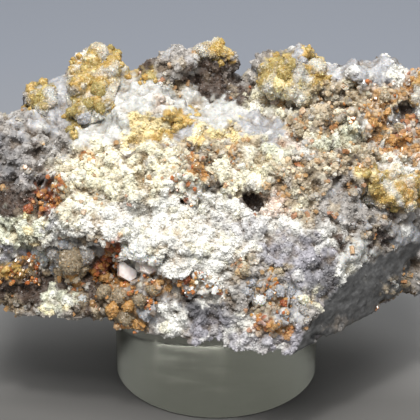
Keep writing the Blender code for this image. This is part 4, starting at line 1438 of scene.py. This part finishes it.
def studio_world():
    """Plain soft light from all round, dimmer from behind the specimen."""
    world = bpy.data.worlds.new("studio")
    world.use_nodes = True
    nodes, links = world.node_tree.nodes, world.node_tree.links
    direction = nodes.new("ShaderNodeTexCoord")
    parts = nodes.new("ShaderNodeSeparateXYZ")
    depth = nodes.new("ShaderNodeMapRange")
    depth.inputs["From Min"].default_value = -1.0
    ramp = nodes.new("ShaderNodeValToRGB")
    ramp.color_ramp.elements[0].position = 0.3
    ramp.color_ramp.elements[0].color = (0.50, 0.51, 0.52, 1.0)
    ramp.color_ramp.elements[1].position = 0.9
    ramp.color_ramp.elements[1].color = (0.17, 0.175, 0.17, 1.0)
    links.new(direction.outputs["Generated"], parts.inputs["Vector"])
    links.new(parts.outputs["Y"], depth.inputs["Value"])
    links.new(depth.outputs["Result"], ramp.inputs["Fac"])
    links.new(ramp.outputs["Color"], nodes["Background"].inputs["Color"])
    return world


class SPECIMEN_OT_studio(bpy.types.Operator):
    """Set the floor, the lights and the camera"""

    bl_idname = "specimen.studio"
    bl_label = "Studio"

    def execute(self, context):
        scene = context.scene
        bm = bmesh.new()
        bmesh.ops.create_grid(bm, x_segments=24, y_segments=24, size=1.5,
                              matrix=Matrix.Translation((0.0, 0.0, -0.1 * MM)))
        floor = add_object("studio_floor", form_from(bm, "studio floor"))
        material = bpy.data.materials.new("studio floor")
        material.use_nodes = True
        nodes, links = material.node_tree.nodes, material.node_tree.links
        shader = nodes["Principled BSDF"]
        place = nodes.new("ShaderNodeTexCoord")
        parts = nodes.new("ShaderNodeSeparateXYZ")
        ramp = nodes.new("ShaderNodeValToRGB")
        near_far = nodes.new("ShaderNodeMapRange")
        near_far.inputs["From Min"].default_value = -0.05
        near_far.inputs["From Max"].default_value = 0.12
        # The floor's grey is painted: darker at the front as painted shade, lighter round and just behind the
        # stand as painted light over the specimen's shadow, and blue-grey far back.
        ramp.color_ramp.elements[0].color = (0.12, 0.118, 0.113, 1.0)
        near = ramp.color_ramp.elements.new(0.23)
        near.color = (0.135, 0.132, 0.127, 1.0)
        middle = ramp.color_ramp.elements.new(0.34)
        middle.color = (0.29, 0.285, 0.28, 1.0)
        ramp.color_ramp.elements[3].color = (0.26, 0.28, 0.325, 1.0)
        links.new(place.outputs["Object"], parts.inputs["Vector"])
        links.new(parts.outputs["Y"], near_far.inputs["Value"])
        links.new(near_far.outputs["Result"], ramp.inputs["Fac"])
        links.new(ramp.outputs["Color"], shader.inputs["Base Color"])
        shader.inputs["Roughness"].default_value = 0.6
        floor.data.materials.append(material)
        add_light("key", (-0.02, -0.14, 0.355), 0.22, 1.25, (1.0, 0.985, 0.96))
        add_light("small key", (-0.03, -0.15, 0.34), 0.04, 0.45, (1.0, 0.985, 0.96))
        add_light("back", (0.06, 0.20, 0.34), 0.20, 0.35)
        scene.world = studio_world()
        lens = bpy.data.cameras.new("camera")
        lens.sensor_width = 36.0
        lens.lens = 18.0 / (PICTURE_MIDDLE / PIXELS_PER_MM / (CAMERA_DISTANCE / MM))
        lens.clip_start = 0.01
        camera = bpy.data.objects.new("camera", lens)
        camera.location = TARGET + Vector(TO_CAMERA) * CAMERA_DISTANCE
        camera.rotation_mode = "QUATERNION"
        camera.rotation_quaternion = (-Vector(TO_CAMERA)).to_track_quat("-Z", "Y")
        scene.collection.objects.link(camera)
        scene.camera = camera
        scene.view_settings.view_transform = "Standard"
        return {"FINISHED"}


OPERATORS = (
    SPECIMEN_OT_stone,
    SPECIMEN_OT_grains,
    SPECIMEN_OT_stained_crystals,
    SPECIMEN_OT_nodules,
    SPECIMEN_OT_golden_balls,
    SPECIMEN_OT_red_crystals,
    SPECIMEN_OT_knobs,
    SPECIMEN_OT_small_plates,
    SPECIMEN_OT_plate_crystal,
    SPECIMEN_OT_stand,
    SPECIMEN_OT_studio,
)


class SPECIMEN_PT_panel(bpy.types.Panel):
    """Lists the specimen's pieces and their settings."""

    bl_idname = "SPECIMEN_PT_panel"
    bl_label = "Vanadinite specimen"
    bl_space_type = "VIEW_3D"
    bl_region_type = "UI"
    bl_category = "Specimen"

    def draw(self, context):
        for operator in OPERATORS:
            self.layout.operator(operator.bl_idname)
        scene = context.scene
        for group in (scene.crust_settings, scene.stand_settings, scene.mineral_colours):
            for name in group.__annotations__:
                self.layout.prop(group, name)


CLASSES = (MineralColours, CrustSettings, StandSettings, *OPERATORS, SPECIMEN_PT_panel)


def register():
    """Adds the operators, the panel and the settings to Blender."""
    for group in CLASSES:
        bpy.utils.register_class(group)
    bpy.types.Scene.mineral_colours = PointerProperty(type=MineralColours)
    bpy.types.Scene.crust_settings = PointerProperty(type=CrustSettings)
    bpy.types.Scene.stand_settings = PointerProperty(type=StandSettings)


def unregister():
    """Takes them out again."""
    del bpy.types.Scene.stand_settings
    del bpy.types.Scene.crust_settings
    del bpy.types.Scene.mineral_colours
    for group in reversed(CLASSES):
        bpy.utils.unregister_class(group)


def main():
    """Builds the specimen and its studio."""
    register()
    bpy.ops.specimen.stone()
    bpy.ops.specimen.grains()
    bpy.ops.specimen.stained_crystals()
    bpy.ops.specimen.nodules()
    bpy.ops.specimen.golden_balls()
    bpy.ops.specimen.red_crystals()
    bpy.ops.specimen.knobs()
    bpy.ops.specimen.small_plates()
    bpy.ops.specimen.plate_crystal()
    bpy.ops.specimen.stand()
    bpy.ops.specimen.studio()


if __name__ == "__main__":
    main()
